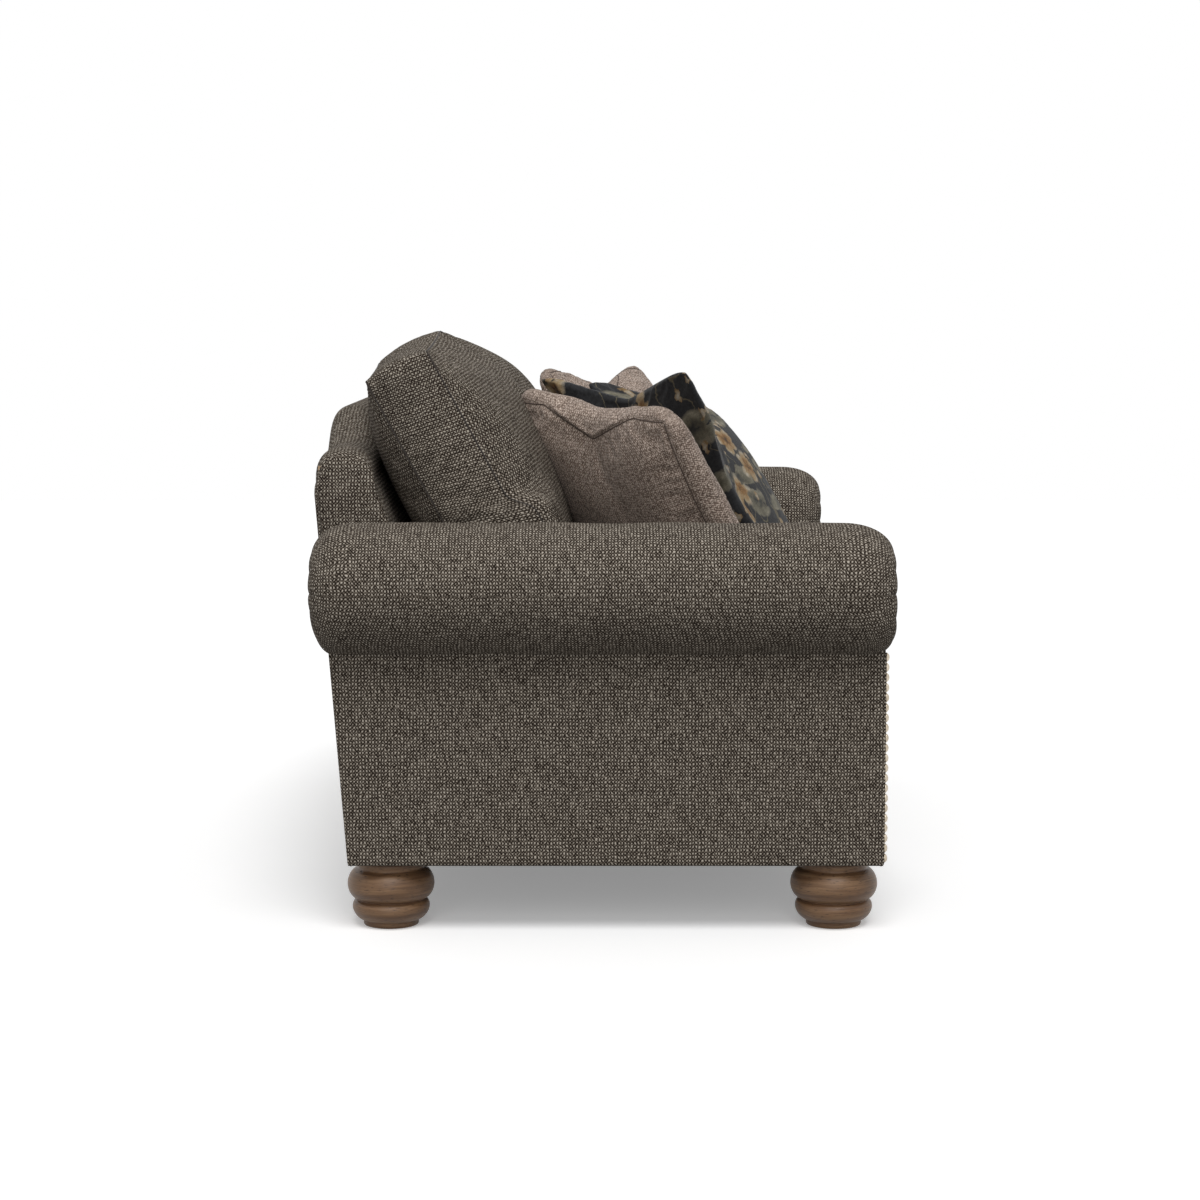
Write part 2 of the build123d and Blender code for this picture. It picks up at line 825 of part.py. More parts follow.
# Throw pillows stand on the seat on their lower edge
def pillow_plane(size, edge, x, forward, yaw, lean, roll):
    """Middle plane of a pillow: own x across, own y up its face, normal to the front."""
    y = inside_y(deck_height) - forward
    facing = Vector(cos(radians(yaw)), sin(radians(yaw)), 0)
    across = Vector(-facing.Y, facing.X, 0)
    upward = Vector(0, 0, cos(radians(lean))) - facing * sin(radians(lean))
    normal = facing * cos(radians(lean)) + Vector(0, 0, sin(radians(lean)))
    turned = across * cos(radians(roll)) + upward * sin(radians(roll))
    raised = upward * cos(radians(roll)) - across * sin(radians(roll))
    rests = []
    for step in range(-edge_steps, edge_steps + 1):
        share = step / edge_steps
        rise = pillow_draw_in / 2 * (1 - share**2)
        low = turned * (share * size / 2) - raised * (size / 2 - rise)
        rests.append(seat_top_z(x + low.X, y + low.Y) - low.Z)
    height = max(rests) + seat_gap + edge / 2 * sin(radians(lean))
    return Plane(origin=(x, y, height), x_dir=turned, z_dir=normal)


def pillow_outline(plane, size, share, full_dip):
    """Square outline with drawn-in sides and a dent in the top edge, shrunk by a share."""
    half = size / 2 * share
    dip = full_dip * share
    pull = pillow_draw_in * share
    with BuildSketch(plane) as outline:
        with BuildLine():
            ThreePointArc((-half, -half), (0, -half + pull / 2), (half, -half))
            ThreePointArc((half, -half), (half - pull, 0), (half, half))
            ThreePointArc((half, half), (half / 2, half - dip * pillow_dip_shape), (0, half - dip))
            ThreePointArc((0, half - dip), (-half / 2, half - dip * pillow_dip_shape), (-half, half))
            ThreePointArc((-half, half), (-half + pull, 0), (-half, -half))
        make_face()
    return outline.sketch


def pillow_solid(plane, size, front, back):
    """Filled pillow: two crowned halves, each of its own depth, lofted from the edge seam."""
    with BuildPart() as solid:
        for depth in (front, -back):
            outlines = [
                pillow_outline(plane.offset(rise * depth), size, share, pillow_dip)
                for rise, share in pillow_rises
            ]
            loft(outlines, ruled=True)
    return solid.part


def insert_solid(plane, size, gap):
    """Fibre insert with flat facets, or with a gap the room it lies in."""
    base = 2 * (size / 2 - pillow_dip) * insert_share
    with BuildPart() as solid:
        for face in (1, -1):
            with BuildSketch(plane) as middle:
                Rectangle(base + 2 * gap, base + 2 * gap)
            with BuildSketch(plane.offset(face * (insert_rise * pillow_pressed_depth + gap))) as top:
                Rectangle(base * insert_top_share + 2 * gap, base * insert_top_share + 2 * gap)
            loft([middle.sketch, top.sketch], ruled=True)
    return solid.part


def make_pillow(name, size, flange, edge, edge_dip, front, back, place):
    """Cover and insert of one pillow; a flange leaves the filled part smaller."""
    plane = pillow_plane(size, edge, **place)
    filled = size - 2 * flange
    with BuildPart() as pillow_cover:
        add(pillow_solid(plane, filled, front, back))
        if flange:
            extrude(pillow_outline(plane, size, 1, edge_dip), amount=edge / 2, both=True)
        add(insert_solid(plane, filled, fill_gap), mode=Mode.SUBTRACT)
    save(pillow_cover, f"{name}_cover")

    with BuildPart() as pillow_insert:
        add(insert_solid(plane, filled, 0))
    save(pillow_insert, f"{name}_insert")


taupe_form = (taupe_size, flange_width, flange_thickness)
taupe_depths = (pillow_pressed_depth, pillow_free_depth)
make_pillow("left_taupe_pillow", *taupe_form, left_edge_dip, *taupe_depths, left_taupe)
make_pillow("right_taupe_pillow", *taupe_form, right_edge_dip, *taupe_depths, right_taupe)
flower_form = (flower_size, 0, 0, 0, pillow_free_depth, pillow_pressed_depth)
make_pillow("left_flower_pillow", *flower_form, left_flower)
make_pillow("right_flower_pillow", *flower_form, right_flower)
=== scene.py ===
import json
from math import cos, pi, radians, sin, tan

import bmesh
import bpy
import numpy as np
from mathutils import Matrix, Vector
from mathutils.bvhtree import BVHTree


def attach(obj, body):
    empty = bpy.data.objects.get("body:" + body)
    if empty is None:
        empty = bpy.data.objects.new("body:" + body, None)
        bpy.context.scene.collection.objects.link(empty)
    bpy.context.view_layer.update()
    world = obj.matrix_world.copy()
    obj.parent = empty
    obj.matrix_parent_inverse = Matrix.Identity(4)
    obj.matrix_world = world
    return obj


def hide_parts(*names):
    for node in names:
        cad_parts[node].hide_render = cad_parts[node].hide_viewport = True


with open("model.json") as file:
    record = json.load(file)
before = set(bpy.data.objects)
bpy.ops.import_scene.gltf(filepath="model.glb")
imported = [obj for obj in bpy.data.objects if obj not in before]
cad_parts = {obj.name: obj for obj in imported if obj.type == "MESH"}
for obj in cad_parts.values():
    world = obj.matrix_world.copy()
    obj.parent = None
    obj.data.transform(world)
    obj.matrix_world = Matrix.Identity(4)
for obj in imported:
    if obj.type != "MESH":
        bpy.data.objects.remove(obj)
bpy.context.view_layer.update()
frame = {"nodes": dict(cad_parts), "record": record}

scene = bpy.context.scene
SIDES = (("left", -1), ("right", 1))


# Materials

WHITE, BLACK = (1, 1, 1), (0, 0, 0)


class Graph:
    """Short way to write the nodes of one material."""

    def __init__(self, name, roughness, sheen=0.0, metallic=0.0, specular=0.5):
        self.mat = bpy.data.materials.new(name)
        self.mat.use_nodes = True
        self.tree = self.mat.node_tree
        self.bsdf = self.tree.nodes["Principled BSDF"]
        finish = {"Roughness": roughness, "Metallic": metallic, "Specular IOR Level": specular}
        if sheen:
            finish |= {"Sheen Weight": sheen, "Sheen Roughness": 0.5}
        for key, value in finish.items():
            self.bsdf.inputs[key].default_value = value

    def put(self, socket, value):
        if isinstance(value, bpy.types.NodeSocket):
            self.tree.links.new(value, socket)
        else:
            socket.default_value = value

    def node(self, kind, inputs, out=0, **settings):
        made = self.tree.nodes.new(kind)
        for key, value in settings.items():
            setattr(made, key, value)
        for key, value in inputs.items():
            self.put(made.inputs[key], value)
        return made.outputs[out]

    def math(self, operation, a, b=0.0, clamp=False):
        return self.node("ShaderNodeMath", {0: a, 1: b}, operation=operation, use_clamp=clamp)

    def times(self, a, b):
        return self.math("MULTIPLY", a, b)

    def add(self, a, part, share):
        """a and a share of a part."""
        return self.math("ADD", a, self.times(part, share))

    def vector(self, operation, a, b=(0, 0, 0)):
        return self.node("ShaderNodeVectorMath", {0: a, 1: b}, operation=operation)

    def scale(self, vector, x, y, z=0.0):
        return self.vector("MULTIPLY", vector, (x, y, z))

    def noise(self, vector, scale, detail, roughness=0.5, out=0):
        inputs = {"Vector": vector, "Scale": scale, "Detail": detail, "Roughness": roughness}
        return self.node("ShaderNodeTexNoise", inputs, out=out)

    def flecks(self, vector):
        """One random tone for each whole step of a vector."""
        inputs = {"Vector": self.vector("FLOOR", vector)}
        return self.node("ShaderNodeTexWhiteNoise", inputs, noise_dimensions="2D")

    def ramp(self, factor, stops):
        made = self.tree.nodes.new("ShaderNodeValToRGB")
        points = made.color_ramp.elements
        while len(points) < len(stops):
            points.new(0.5)
        for point, (place, colour) in zip(points, stops):
            point.position = place
            point.color = (*colour, 1)
        self.put(made.inputs[0], factor)
        return made.outputs[0]

    def mix(self, factor, a, b):
        colours = [c if isinstance(c, bpy.types.NodeSocket) else (*c, 1) for c in (a, b)]
        inputs = {0: factor, 6: colours[0], 7: colours[1]}
        return self.node("ShaderNodeMix", inputs, out=2, data_type="RGBA")

    def split(self, vector):
        made = self.tree.nodes.new("ShaderNodeSeparateXYZ")
        self.put(made.inputs[0], vector)
        return made.outputs[0], made.outputs[1]

    def uv(self):
        return self.node("ShaderNodeTexCoord", {}, out=2)

    def place(self):
        return self.node("ShaderNodeTexCoord", {}, out=3)

    def bump(self, height, distance, strength):
        inputs = {"Height": height, "Distance": distance, "Strength": strength}
        return self.node("ShaderNodeBump", inputs)

    def finish(self, colour, normal, roughness=None):
        self.put(self.bsdf.inputs["Base Color"], colour)
        self.put(self.bsdf.inputs["Normal"], normal)
        if roughness is not None:
            self.put(self.bsdf.inputs["Roughness"], roughness)
        return self.mat


YARN_STRAY = 0.0066  # from its straight line, in metres
YARN_ACROSS, YARN_ALONG = 1.7, 0.20  # changes of tone per knot
CLOUD_SHARE = 0.12  # of the broad changes of tone


def weave(g, pitch, shares):
    """Tone, about 0, and relief of a plain weave: rows of knots, with others set between them.

    pitch is that of the knots across and along, and shares are how much each part of the tone counts.
    """
    fleck_share, warp_share, weft_share, column_share, row_share, check_share = shares
    uv = g.uv()
    stray = g.noise(uv, 75.0, 3.0, out=1)
    bent = g.vector("ADD", uv, g.scale(stray, YARN_STRAY, YARN_STRAY))
    threads = g.scale(bent, 1 / pitch[0], 1 / pitch[1])
    u, v = g.split(threads)
    columns, rows = (g.math("COSINE", g.times(run, 2 * pi)) for run in (u, v))
    checks = g.times(columns, rows)
    fleck = g.flecks(g.scale(threads, 2.0, 2.0))
    warp = g.noise(g.scale(threads, YARN_ACROSS, YARN_ALONG), 1.0, 2.0)
    weft = g.noise(g.scale(threads, YARN_ALONG, YARN_ACROSS), 1.0, 2.0)
    cloud = g.noise(uv, 14.0, 3.0)
    tone = g.times(checks, check_share)
    even = ((fleck, fleck_share), (warp, warp_share), (weft, weft_share), (cloud, CLOUD_SHARE))
    for part, share in even:
        tone = g.add(tone, g.math("SUBTRACT", part, 0.5), share)
    for part, share in ((columns, column_share), (rows, row_share)):
        tone = g.add(tone, part, g.times(fleck, share))
    return tone, checks


def woven_material(name, pitch, shares, level, colours, relief, strength, **finish):
    """Plain weave whose tone runs through five colours; level is the mean tone."""
    g = Graph(name, **finish)
    tone, checks = weave(g, pitch, shares)
    stops = list(zip((0.0, 0.26, 0.50, 0.75, 1.0), colours))
    colour = g.ramp(g.math("ADD", tone, level, clamp=True), stops)
    return g.finish(colour, g.bump(checks, relief, strength))


FINE_THREAD = 0.0016  # pitch of the print's ground cloth, in metres


def flower_material():
    """Charcoal cloth with a loose print of round blossoms, leaves and buds."""
    g = Graph("flower_cloth", roughness=0.85, sheen=0.08, specular=0.25)
    uv = g.uv()
    broad = g.scale(g.noise(uv, 16.0, 2.0, out=1), 0.045, 0.045)
    small = g.scale(g.noise(uv, 95.0, 3.0, out=1), 0.012, 0.012)
    bent = g.vector("ADD", uv, g.vector("ADD", broad, small))
    thread_tone = g.flecks(g.scale(uv, 1 / FINE_THREAD, 1 / FINE_THREAD))
    worn = g.noise(uv, 170.0, 4.0)
    wash = g.noise(uv, 42.0, 3.0)

    def motif(scale, stretch, shift, petals, depth, radius, chosen):
        """Mask, radius share and petal wave of one motif, in the cells whose draw is above chosen."""
        spot = g.vector("ADD", g.scale(bent, stretch, 1.0), (*shift, 0.0))
        cells = g.tree.nodes.new("ShaderNodeTexVoronoi")
        cells.voronoi_dimensions = "2D"
        g.put(cells.inputs["Vector"], spot)
        g.put(cells.inputs["Scale"], scale)
        g.put(cells.inputs["Randomness"], 0.9)
        x, y = g.split(g.vector("SUBTRACT", spot, cells.outputs["Position"]))
        draw, turn = g.split(cells.outputs["Color"])
        angle = g.add(g.math("ARCTAN2", y, x), turn, 6.28)
        wave = g.math("ABSOLUTE", g.math("COSINE", g.times(angle, petals / 2)))
        edge = g.add(1 - depth, wave, depth)
        reach = g.math("DIVIDE", g.times(cells.outputs["Distance"], 1 / radius), edge)
        mask = g.ramp(reach, [(0.0, WHITE), (0.80, WHITE), (1.0, BLACK)])
        return g.times(mask, g.math("GREATER_THAN", draw, chosen)), reach, wave

    def shade(reach, wave, stops):
        """Petal tone: from the heart outwards, darker in the folds, broken up like a wash."""
        tone = g.add(g.times(reach, 0.55), worn, 0.34)
        tone = g.add(tone, g.math("SUBTRACT", wash, 0.5), 0.8)
        tone = g.add(tone, g.math("SUBTRACT", wave, 0.6), 0.22)
        return g.ramp(tone, stops)

    ground = g.ramp(worn, [(0.3, (0.009, 0.0095, 0.011)), (0.7, (0.030, 0.031, 0.034))])
    leaf, reach, wave = motif(13.0, 0.50, (0.31, 0.12), petals=2, depth=0.66, radius=0.50, chosen=0.34)
    greens = [
        (0.22, (0.030, 0.030, 0.028)),
        (0.50, (0.150, 0.138, 0.098)),
        (0.85, (0.330, 0.305, 0.235)),
    ]
    leaf_tone = shade(reach, wave, greens)
    bloom, reach, wave = motif(10.0, 1.0, (0.07, 0.43), petals=5, depth=0.42, radius=0.46, chosen=0.50)
    golds = [
        (0.14, (0.050, 0.026, 0.012)),
        (0.36, (0.270, 0.140, 0.045)),
        (0.60, (0.400, 0.290, 0.160)),
        (0.86, (0.560, 0.510, 0.420)),
    ]
    bloom_tone = shade(reach, wave, golds)
    bud, reach, wave = motif(25.0, 1.4, (0.77, 0.21), petals=3, depth=0.40, radius=0.36, chosen=0.62)
    bud_tone = shade(reach, wave, [(0.2, (0.50, 0.46, 0.38)), (0.8, (0.27, 0.165, 0.062))])
    lines = g.noise(g.scale(bent, 1.0, 0.45), 17.0, 1.0)
    off = g.math("ABSOLUTE", g.math("SUBTRACT", lines, 0.5))
    stem = g.ramp(off, [(0.0, WHITE), (0.006, WHITE), (0.011, BLACK)])
    colour = g.mix(g.times(stem, 0.7), ground, (0.200, 0.170, 0.105))
    for mask, tone in ((leaf, leaf_tone), (bud, bud_tone), (bloom, bloom_tone)):
        colour = g.mix(mask, colour, tone)
    colour = g.mix(g.times(thread_tone, 0.34), colour, (0.014, 0.014, 0.015))
    return g.finish(colour, g.bump(thread_tone, 0.0004, 0.6))


def foot_material():
    """Stained turned wood with level grain, pores and a soft sheen."""
    g = Graph("foot_wood", roughness=0.45, specular=0.4)
    spot = g.place()
    wave = g.vector("ADD", spot, g.scale(g.noise(spot, 7.0, 2.0, out=1), 0.0, 0.0, 0.020))
    grain = g.noise(g.scale(wave, 3.0, 3.0, 60.0), 2.2, 4.0, 0.62)
    fine = g.noise(g.scale(wave, 9.0, 9.0, 420.0), 2.0, 3.0, 0.6)
    pores = g.noise(g.scale(wave, 38.0, 38.0, 330.0), 2.4, 1.0)
    tone = g.add(g.times(grain, 0.66), fine, 0.34)
    colour = g.ramp(
        tone,
        [
            (0.30, (0.072, 0.034, 0.0155)),
            (0.46, (0.148, 0.077, 0.037)),
            (0.60, (0.232, 0.133, 0.068)),
            (0.76, (0.330, 0.205, 0.115)),
        ],
    )
    holes = g.ramp(pores, [(0.30, WHITE), (0.36, BLACK)])
    colour = g.mix(g.times(holes, 0.7), colour, (0.026, 0.014, 0.008))
    relief = g.bump(g.math("SUBTRACT", fine, holes), 0.0006, 0.45)
    return g.finish(colour, relief, g.add(0.30, tone, 0.25))


def speckle_material(name, dark, light, scale, roughness, metallic=0.0, stretch=(1, 1, 1)):
    """Plain material whose tone and relief come from one stretched noise."""
    g = Graph(name, roughness=roughness, metallic=metallic)
    cloud = g.noise(g.scale(g.place(), *stretch), scale, 3.0)
    colour = g.ramp(cloud, [(0.3, dark), (0.7, light)])
    return g.finish(colour, g.bump(cloud, 0.0004, 0.5), g.add(roughness - 0.1, cloud, 0.2))


# Dark tweed of slubby yarns
TWEED = woven_material(
    "tweed", pitch=(0.0054, 0.0061), shares=(0.50, 0.70, 0.40, 0.50, 0.26, 0.62), level=0.40,
    colours=(
        (0.015, 0.0105, 0.0078),
        (0.055, 0.0425, 0.0325),
        (0.146, 0.1205, 0.0950),
        (0.310, 0.2690, 0.2210),
        (0.515, 0.4660, 0.3960),
    ),
    relief=0.0006, strength=0.8, roughness=0.95, specular=0.12,
)
# Fine speckled cloth
TAUPE = woven_material(
    "taupe_cloth", pitch=(0.0050, 0.0050), shares=(0.80, 0.16, 0.16, 0.24, 0.24, 0.40), level=0.48,
    colours=(
        (0.120, 0.0850, 0.0650),
        (0.215, 0.1580, 0.1240),
        (0.360, 0.2770, 0.2260),
        (0.530, 0.4220, 0.3550),
        (0.700, 0.5850, 0.5060),
    ),
    relief=0.0005, strength=0.7, roughness=0.9, sheen=0.15, specular=0.2,
)
FLOWER = flower_material()
FOOT = foot_material()
FRAME_WOOD = speckle_material(
    "frame_wood", (0.34, 0.22, 0.12), (0.52, 0.37, 0.22), 3.0, 0.6, stretch=(4, 30, 30)
)
STEEL = speckle_material("steel", (0.40, 0.40, 0.41), (0.62, 0.62, 0.63), 90.0, 0.35, 1.0)
NAIL = speckle_material("nail_metal", (0.44, 0.37, 0.28), (0.64, 0.56, 0.45), 70.0, 0.26, 1.0)
DUST = speckle_material("dust_cloth", (0.008, 0.008, 0.009), (0.02, 0.02, 0.021), 700.0, 0.9)
WEBBING = speckle_material(
    "webbing", (0.10, 0.08, 0.06), (0.20, 0.17, 0.13), 300.0, 0.85, stretch=(1, 6, 6)
)
FILL = speckle_material("fill", (0.62, 0.58, 0.48), (0.78, 0.75, 0.66), 260.0, 0.9)
SEAM = speckle_material("seam_thread", (0.020, 0.015, 0.012), (0.045, 0.036, 0.03), 500.0, 0.85)
STITCH = speckle_material("taupe_thread", (0.060, 0.042, 0.033), (0.11, 0.08, 0.064), 500.0, 0.85)


# Sizes, in metres

ROLL_X, ROLL_Z, ROLL_R = 0.764, 0.579, 0.111  # axis and radius of an arm roll
ROLL_FRONT, ROLL_REAR = -0.495, 0.479
PLEATS, PLEAT_DEPTH = 10, 0.0035  # round each end of a roll
ARM_IN, ARM_OUT = 0.653, 0.800
ARM_FRONT, STUMP_FRONT = -0.481, -0.469  # the arm front's cloth, and the wood behind it
BASE, PANEL_TOP = 0.115, 0.470
PANEL, PANEL_ROUND = 0.012, 0.006  # thickness of a panel and radius of its rim
LIP = 0.0005  # from a panel's edge to the arm's outside
BACK_HALF, SHOULDER, HUMP = 0.650, 0.809, 0.868
HUMP_END, HUMP_RUN = 0.470, 0.200  # where the hump starts, and the run of its rise
BACK_LEAN, INSIDE_LEAN = tan(radians(4.5)), tan(radians(22))
REAR_LOW_Y, INSIDE_HIGH_Y = 0.4377, 0.4043  # the back's rear at BASE and its front at SHOULDER
ARM_STEP = 0.018  # from the back's rear forward to the arms' rear
REAR_SKIN, STUMP_TOP, REAR_TOP = 0.0035, 0.520, 0.562
BORDER_Y, DECK_FRONT, DECK_LOW, DECK = -0.465, -0.471, 0.349, 0.360
SEAT_TOP = 0.5195  # what the back cushions and pillows stand on
NAIL_LOW, NAIL_PITCH, NAIL_INSET = 0.013, 0.017, 0.010
NAIL_COUNTS = (21, 23)  # outer and inner row
FOOT_X, FOOT_FRONT, FOOT_REAR = 0.72, -0.403, 0.3527
SEAM_RADIUS, STITCH_RADIUS = 0.0016, 0.0011


def rear_y(z):
    return REAR_LOW_Y + (z - BASE) * BACK_LEAN


def arm_rear_y(z):
    return rear_y(z) - ARM_STEP


def inside_y(z):
    return INSIDE_HIGH_Y - (SHOULDER - z) * INSIDE_LEAN


def under_roll(x):
    """Height at which a panel below the roll ends: a little way into the roll."""
    reach = np.clip(ROLL_R**2 - (np.abs(x) - ROLL_X) ** 2, 0, None)
    return np.minimum(REAR_TOP, ROLL_Z - np.sqrt(reach) + 0.006)


def camel_z(x, drop=0.0):
    """Top of the back at x: level shoulders and a swell between them."""
    t = np.clip((HUMP_END - np.abs(x)) / HUMP_RUN, 0, 1)
    return lerp(SHOULDER, HUMP, t * t * (3 - 2 * t)) - drop


# Mesh tools


def lerp(a, b, t):
    return a + (b - a) * t


def smooth(t):
    t = np.clip(t, 0, 1)
    return t * t * (3 - 2 * t)


def spread(n, ends):
    """n values from 0 to 1, closer together at both ends."""
    t = np.linspace(0, 1, n)
    return lerp(t, (1 - np.cos(pi * t)) / 2, ends)


class Shell:
    """Grids of points that are welded into one closed mesh."""

    def __init__(self):
        self.points, self.faces, self.corners, self.count = [], [], [], 0

    def grid(self, points, uv, flip=False):
        rows, columns = points.shape[:2]
        index = np.arange(rows * columns).reshape(rows, columns)
        quads = np.stack([index[:-1, :-1], index[:-1, 1:], index[1:, 1:], index[1:, :-1]], -1)
        quads = quads.reshape(-1, 4)
        if flip:
            quads = quads[:, ::-1]
        self.corners.append(uv.reshape(-1, 2)[quads])
        self.faces.append(quads + self.count)
        self.points.append(points.reshape(-1, 3))
        self.count += rows * columns
        return self

    def build(self, name, material):
        mesh = bpy.data.meshes.new(name)
        points = np.concatenate(self.points)
        faces = np.concatenate(self.faces)
        mesh.from_pydata(points.tolist(), [], faces.tolist())
        layer = mesh.uv_layers.new(name="UVMap")
        layer.data.foreach_set("uv", np.concatenate(self.corners).reshape(-1).astype(np.float32))
        shape = bmesh.new()
        shape.from_mesh(mesh)
        bmesh.ops.remove_doubles(shape, verts=shape.verts, dist=2e-5)
        bmesh.ops.dissolve_degenerate(shape, edges=shape.edges, dist=1e-6)
        bmesh.ops.recalc_face_normals(shape, faces=shape.faces)
        for face in shape.faces:
            face.smooth = True
        shape.to_mesh(mesh)
        shape.free()
        piece = bpy.data.objects.new(name, mesh)
        scene.collection.objects.link(piece)
        mesh.materials.append(material)
        return piece


def box_uv(piece, ends_only=False):
    """Lay the weave on a piece along the axis that each face looks along, or only on its ends in y."""
    mesh = piece.data
    layer = mesh.uv_layers["UVMap"]
    for face in mesh.polygons:
        n = [abs(c) for c in face.normal]
        if ends_only and n[1] < 0.70:
            continue
        i, j = ((1, 2), (0, 2), (0, 1))[n.index(max(n))]
        for loop in face.loop_indices:
            place = mesh.vertices[mesh.loops[loop].vertex_index].co
            layer.data[loop].uv = (place[i], place[j])
    return piece


def arc_uv(patch):
    """Mean lengths along both directions of a grid of points."""
    runs = []
    for axis in (0, 1):
        step = np.linalg.norm(np.diff(patch, axis=axis), axis=2).mean(1 - axis)
        runs.append(np.concatenate([[0], np.cumsum(step)]))
    return np.stack(np.meshgrid(*runs, indexing="ij"), -1)


def mesh_points(mesh):
    points = np.zeros(len(mesh.vertices) * 3)
    mesh.vertices.foreach_get("co", points)
    return points.reshape(-1, 3)


def set_points(mesh, points):
    mesh.vertices.foreach_set("co", points.reshape(-1))
    mesh.update()


CLOTH_FRAMES = 10
CLOTH = {
    "quality": 4,
    "mass": 0.25,
    "tension_stiffness": 14,
    "compression_stiffness": 5,
    "shear_stiffness": 5,
    "bending_stiffness": 0.25,
    "shrink_min": -0.02,
    "use_pressure": True,
    "vertex_group_mass": "sewn",
}


def settle(piece, sewn, pressure, cap, fit):
    """Fill a sewn cover by cloth simulation: the seams hold while the panels swell, by cap at most."""
    rest = mesh_points(piece.data)
    lines = {tuple(point) for point in np.round(sewn.reshape(-1, 3), 4)}
    held = [i for i, point in enumerate(np.round(rest, 4)) if tuple(point) in lines]
    piece.vertex_groups.new(name="sewn").add(held, 1.0, "REPLACE")
    cloth = piece.modifiers.new("fill", "CLOTH")
    for key, value in CLOTH.items():
        setattr(cloth.settings, key, value)
    cloth.settings.uniform_pressure_force = pressure
    cloth.settings.effector_weights.gravity = 0
    cloth.collision_settings.use_collision = False
    cloth.point_cache.frame_start = 1
    cloth.point_cache.frame_end = CLOTH_FRAMES
    for step in range(1, CLOTH_FRAMES + 1):
        scene.frame_set(step)
    solved = piece.evaluated_get(bpy.context.evaluated_depsgraph_get())
    move = mesh_points(solved.data) - rest
    piece.modifiers.remove(cloth)
    piece.vertex_groups.clear()
    scene.frame_set(1)
    reach = np.linalg.norm(move, axis=1)[:, None]
    moved = rest + move * cap * np.tanh(reach / cap) / np.maximum(reach, 1e-9)
    set_points(piece.data, fit(moved))


def dress(piece, body, slot, *nodes, fill=None):
    """Hang a piece on the body that it rides on, and hide the nodes that it stands for; slot and fill
    are not used.
    """
    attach(piece, body)
    if nodes:
        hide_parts(*nodes)


def frame_cloth(shell, node, fill=None, ends_only=False):
    """Tweed on the frame, in place of a node and named after it."""
    piece = box_uv(shell.build(f"{node}_cloth", TWEED), ends_only)
    dress(piece, "frame", "tweed", node, fill=fill)


def pad_grids(shell, middle, normal, depth_front, depth_back, uv):
    """Two faces of a pad over one middle surface; the depths fall to nothing at the rim."""
    shell.grid(middle + normal * depth_front[..., None], uv)
    shell.grid(middle - normal * depth_back[..., None], uv, flip=True)
    return shell


def soft_slab(shell, corners, normal, n, thickness=PANEL, rim=PANEL_ROUND, crown=0.0, shape=None):
    """Padded board with rounded rims. corners run low-left, low-right, high-right, high-left."""
    a, b, c, d = [np.array(p, float) for p in corners]
    s, t = np.meshgrid(spread(n[0], 0.85), spread(n[1], 0.85), indexing="ij")
    s3, t3 = s[..., None], t[..., None]
    middle = lerp(lerp(a, b, s3), lerp(d, c, s3), t3)
    if shape is not None:
        middle = shape(middle, t)
    wide = np.linalg.norm(b - a)
    high = np.linalg.norm(d - a)
    near = np.minimum(np.minimum(s, 1 - s) * wide, np.minimum(t, 1 - t) * high)
    rise = np.clip(near / rim, 0, 1)
    depth = thickness / 2 * np.sqrt(np.maximum(0, 1 - (1 - rise) ** 2))
    swell = crown * (16 * s * (1 - s) * t * (1 - t)) ** 0.5
    uv = np.stack([s * wide, t * high], -1)
    return pad_grids(shell, middle, np.array(normal, float), depth + swell, depth, uv)


def closed_rings(shell, rings, along, around):
    """Surface through closed rings; the first and last ring may be points."""
    rings = np.concatenate([rings, rings[:, :1]], 1)
    uv = np.stack(np.meshgrid(along, around, indexing="ij"), -1)
    return shell.grid(rings, uv)


def turned(shell, profile, place, axes, sides, step, girth):
    """Body turned from a profile of radius and height; the last of its axes is the one it turns on."""
    ex, ey, ez = np.array(axes, float)
    turn = np.linspace(0, 2 * pi, sides, endpoint=False)[:, None]
    rings = [place + r * np.cos(turn) * ex + r * np.sin(turn) * ey + h * ez for r, h in profile]
    along, around = np.arange(len(profile)) * step, np.linspace(0, girth, sides + 1)
    return closed_rings(shell, np.array(rings), along, around)


def thread(name, paths, radius, material):
    """Round cord along open lines of points."""
    shell = Shell()
    sides = 6
    turn = np.linspace(0, 2 * pi, sides, endpoint=False)[None, :, None]
    for path in paths:
        path = np.array(path, float)
        run = np.gradient(path, axis=0)
        run /= np.linalg.norm(run, axis=1)[:, None]
        side = np.cross(run, (0.31, 0.55, 0.77))
        side /= np.linalg.norm(side, axis=1)[:, None]
        up = np.cross(run, side)
        rings = path[:, None] + radius * (side[:, None] * np.cos(turn) + up[:, None] * np.sin(turn))
        first, last = path[:1, None].repeat(sides, 1), path[-1:, None].repeat(sides, 1)
        rings = np.concatenate([first, rings, last])
        closed_rings(shell, rings, np.arange(len(rings)) * 0.01, np.linspace(0, 0.01, sides + 1))
    return shell.build(name, material)


# Arms


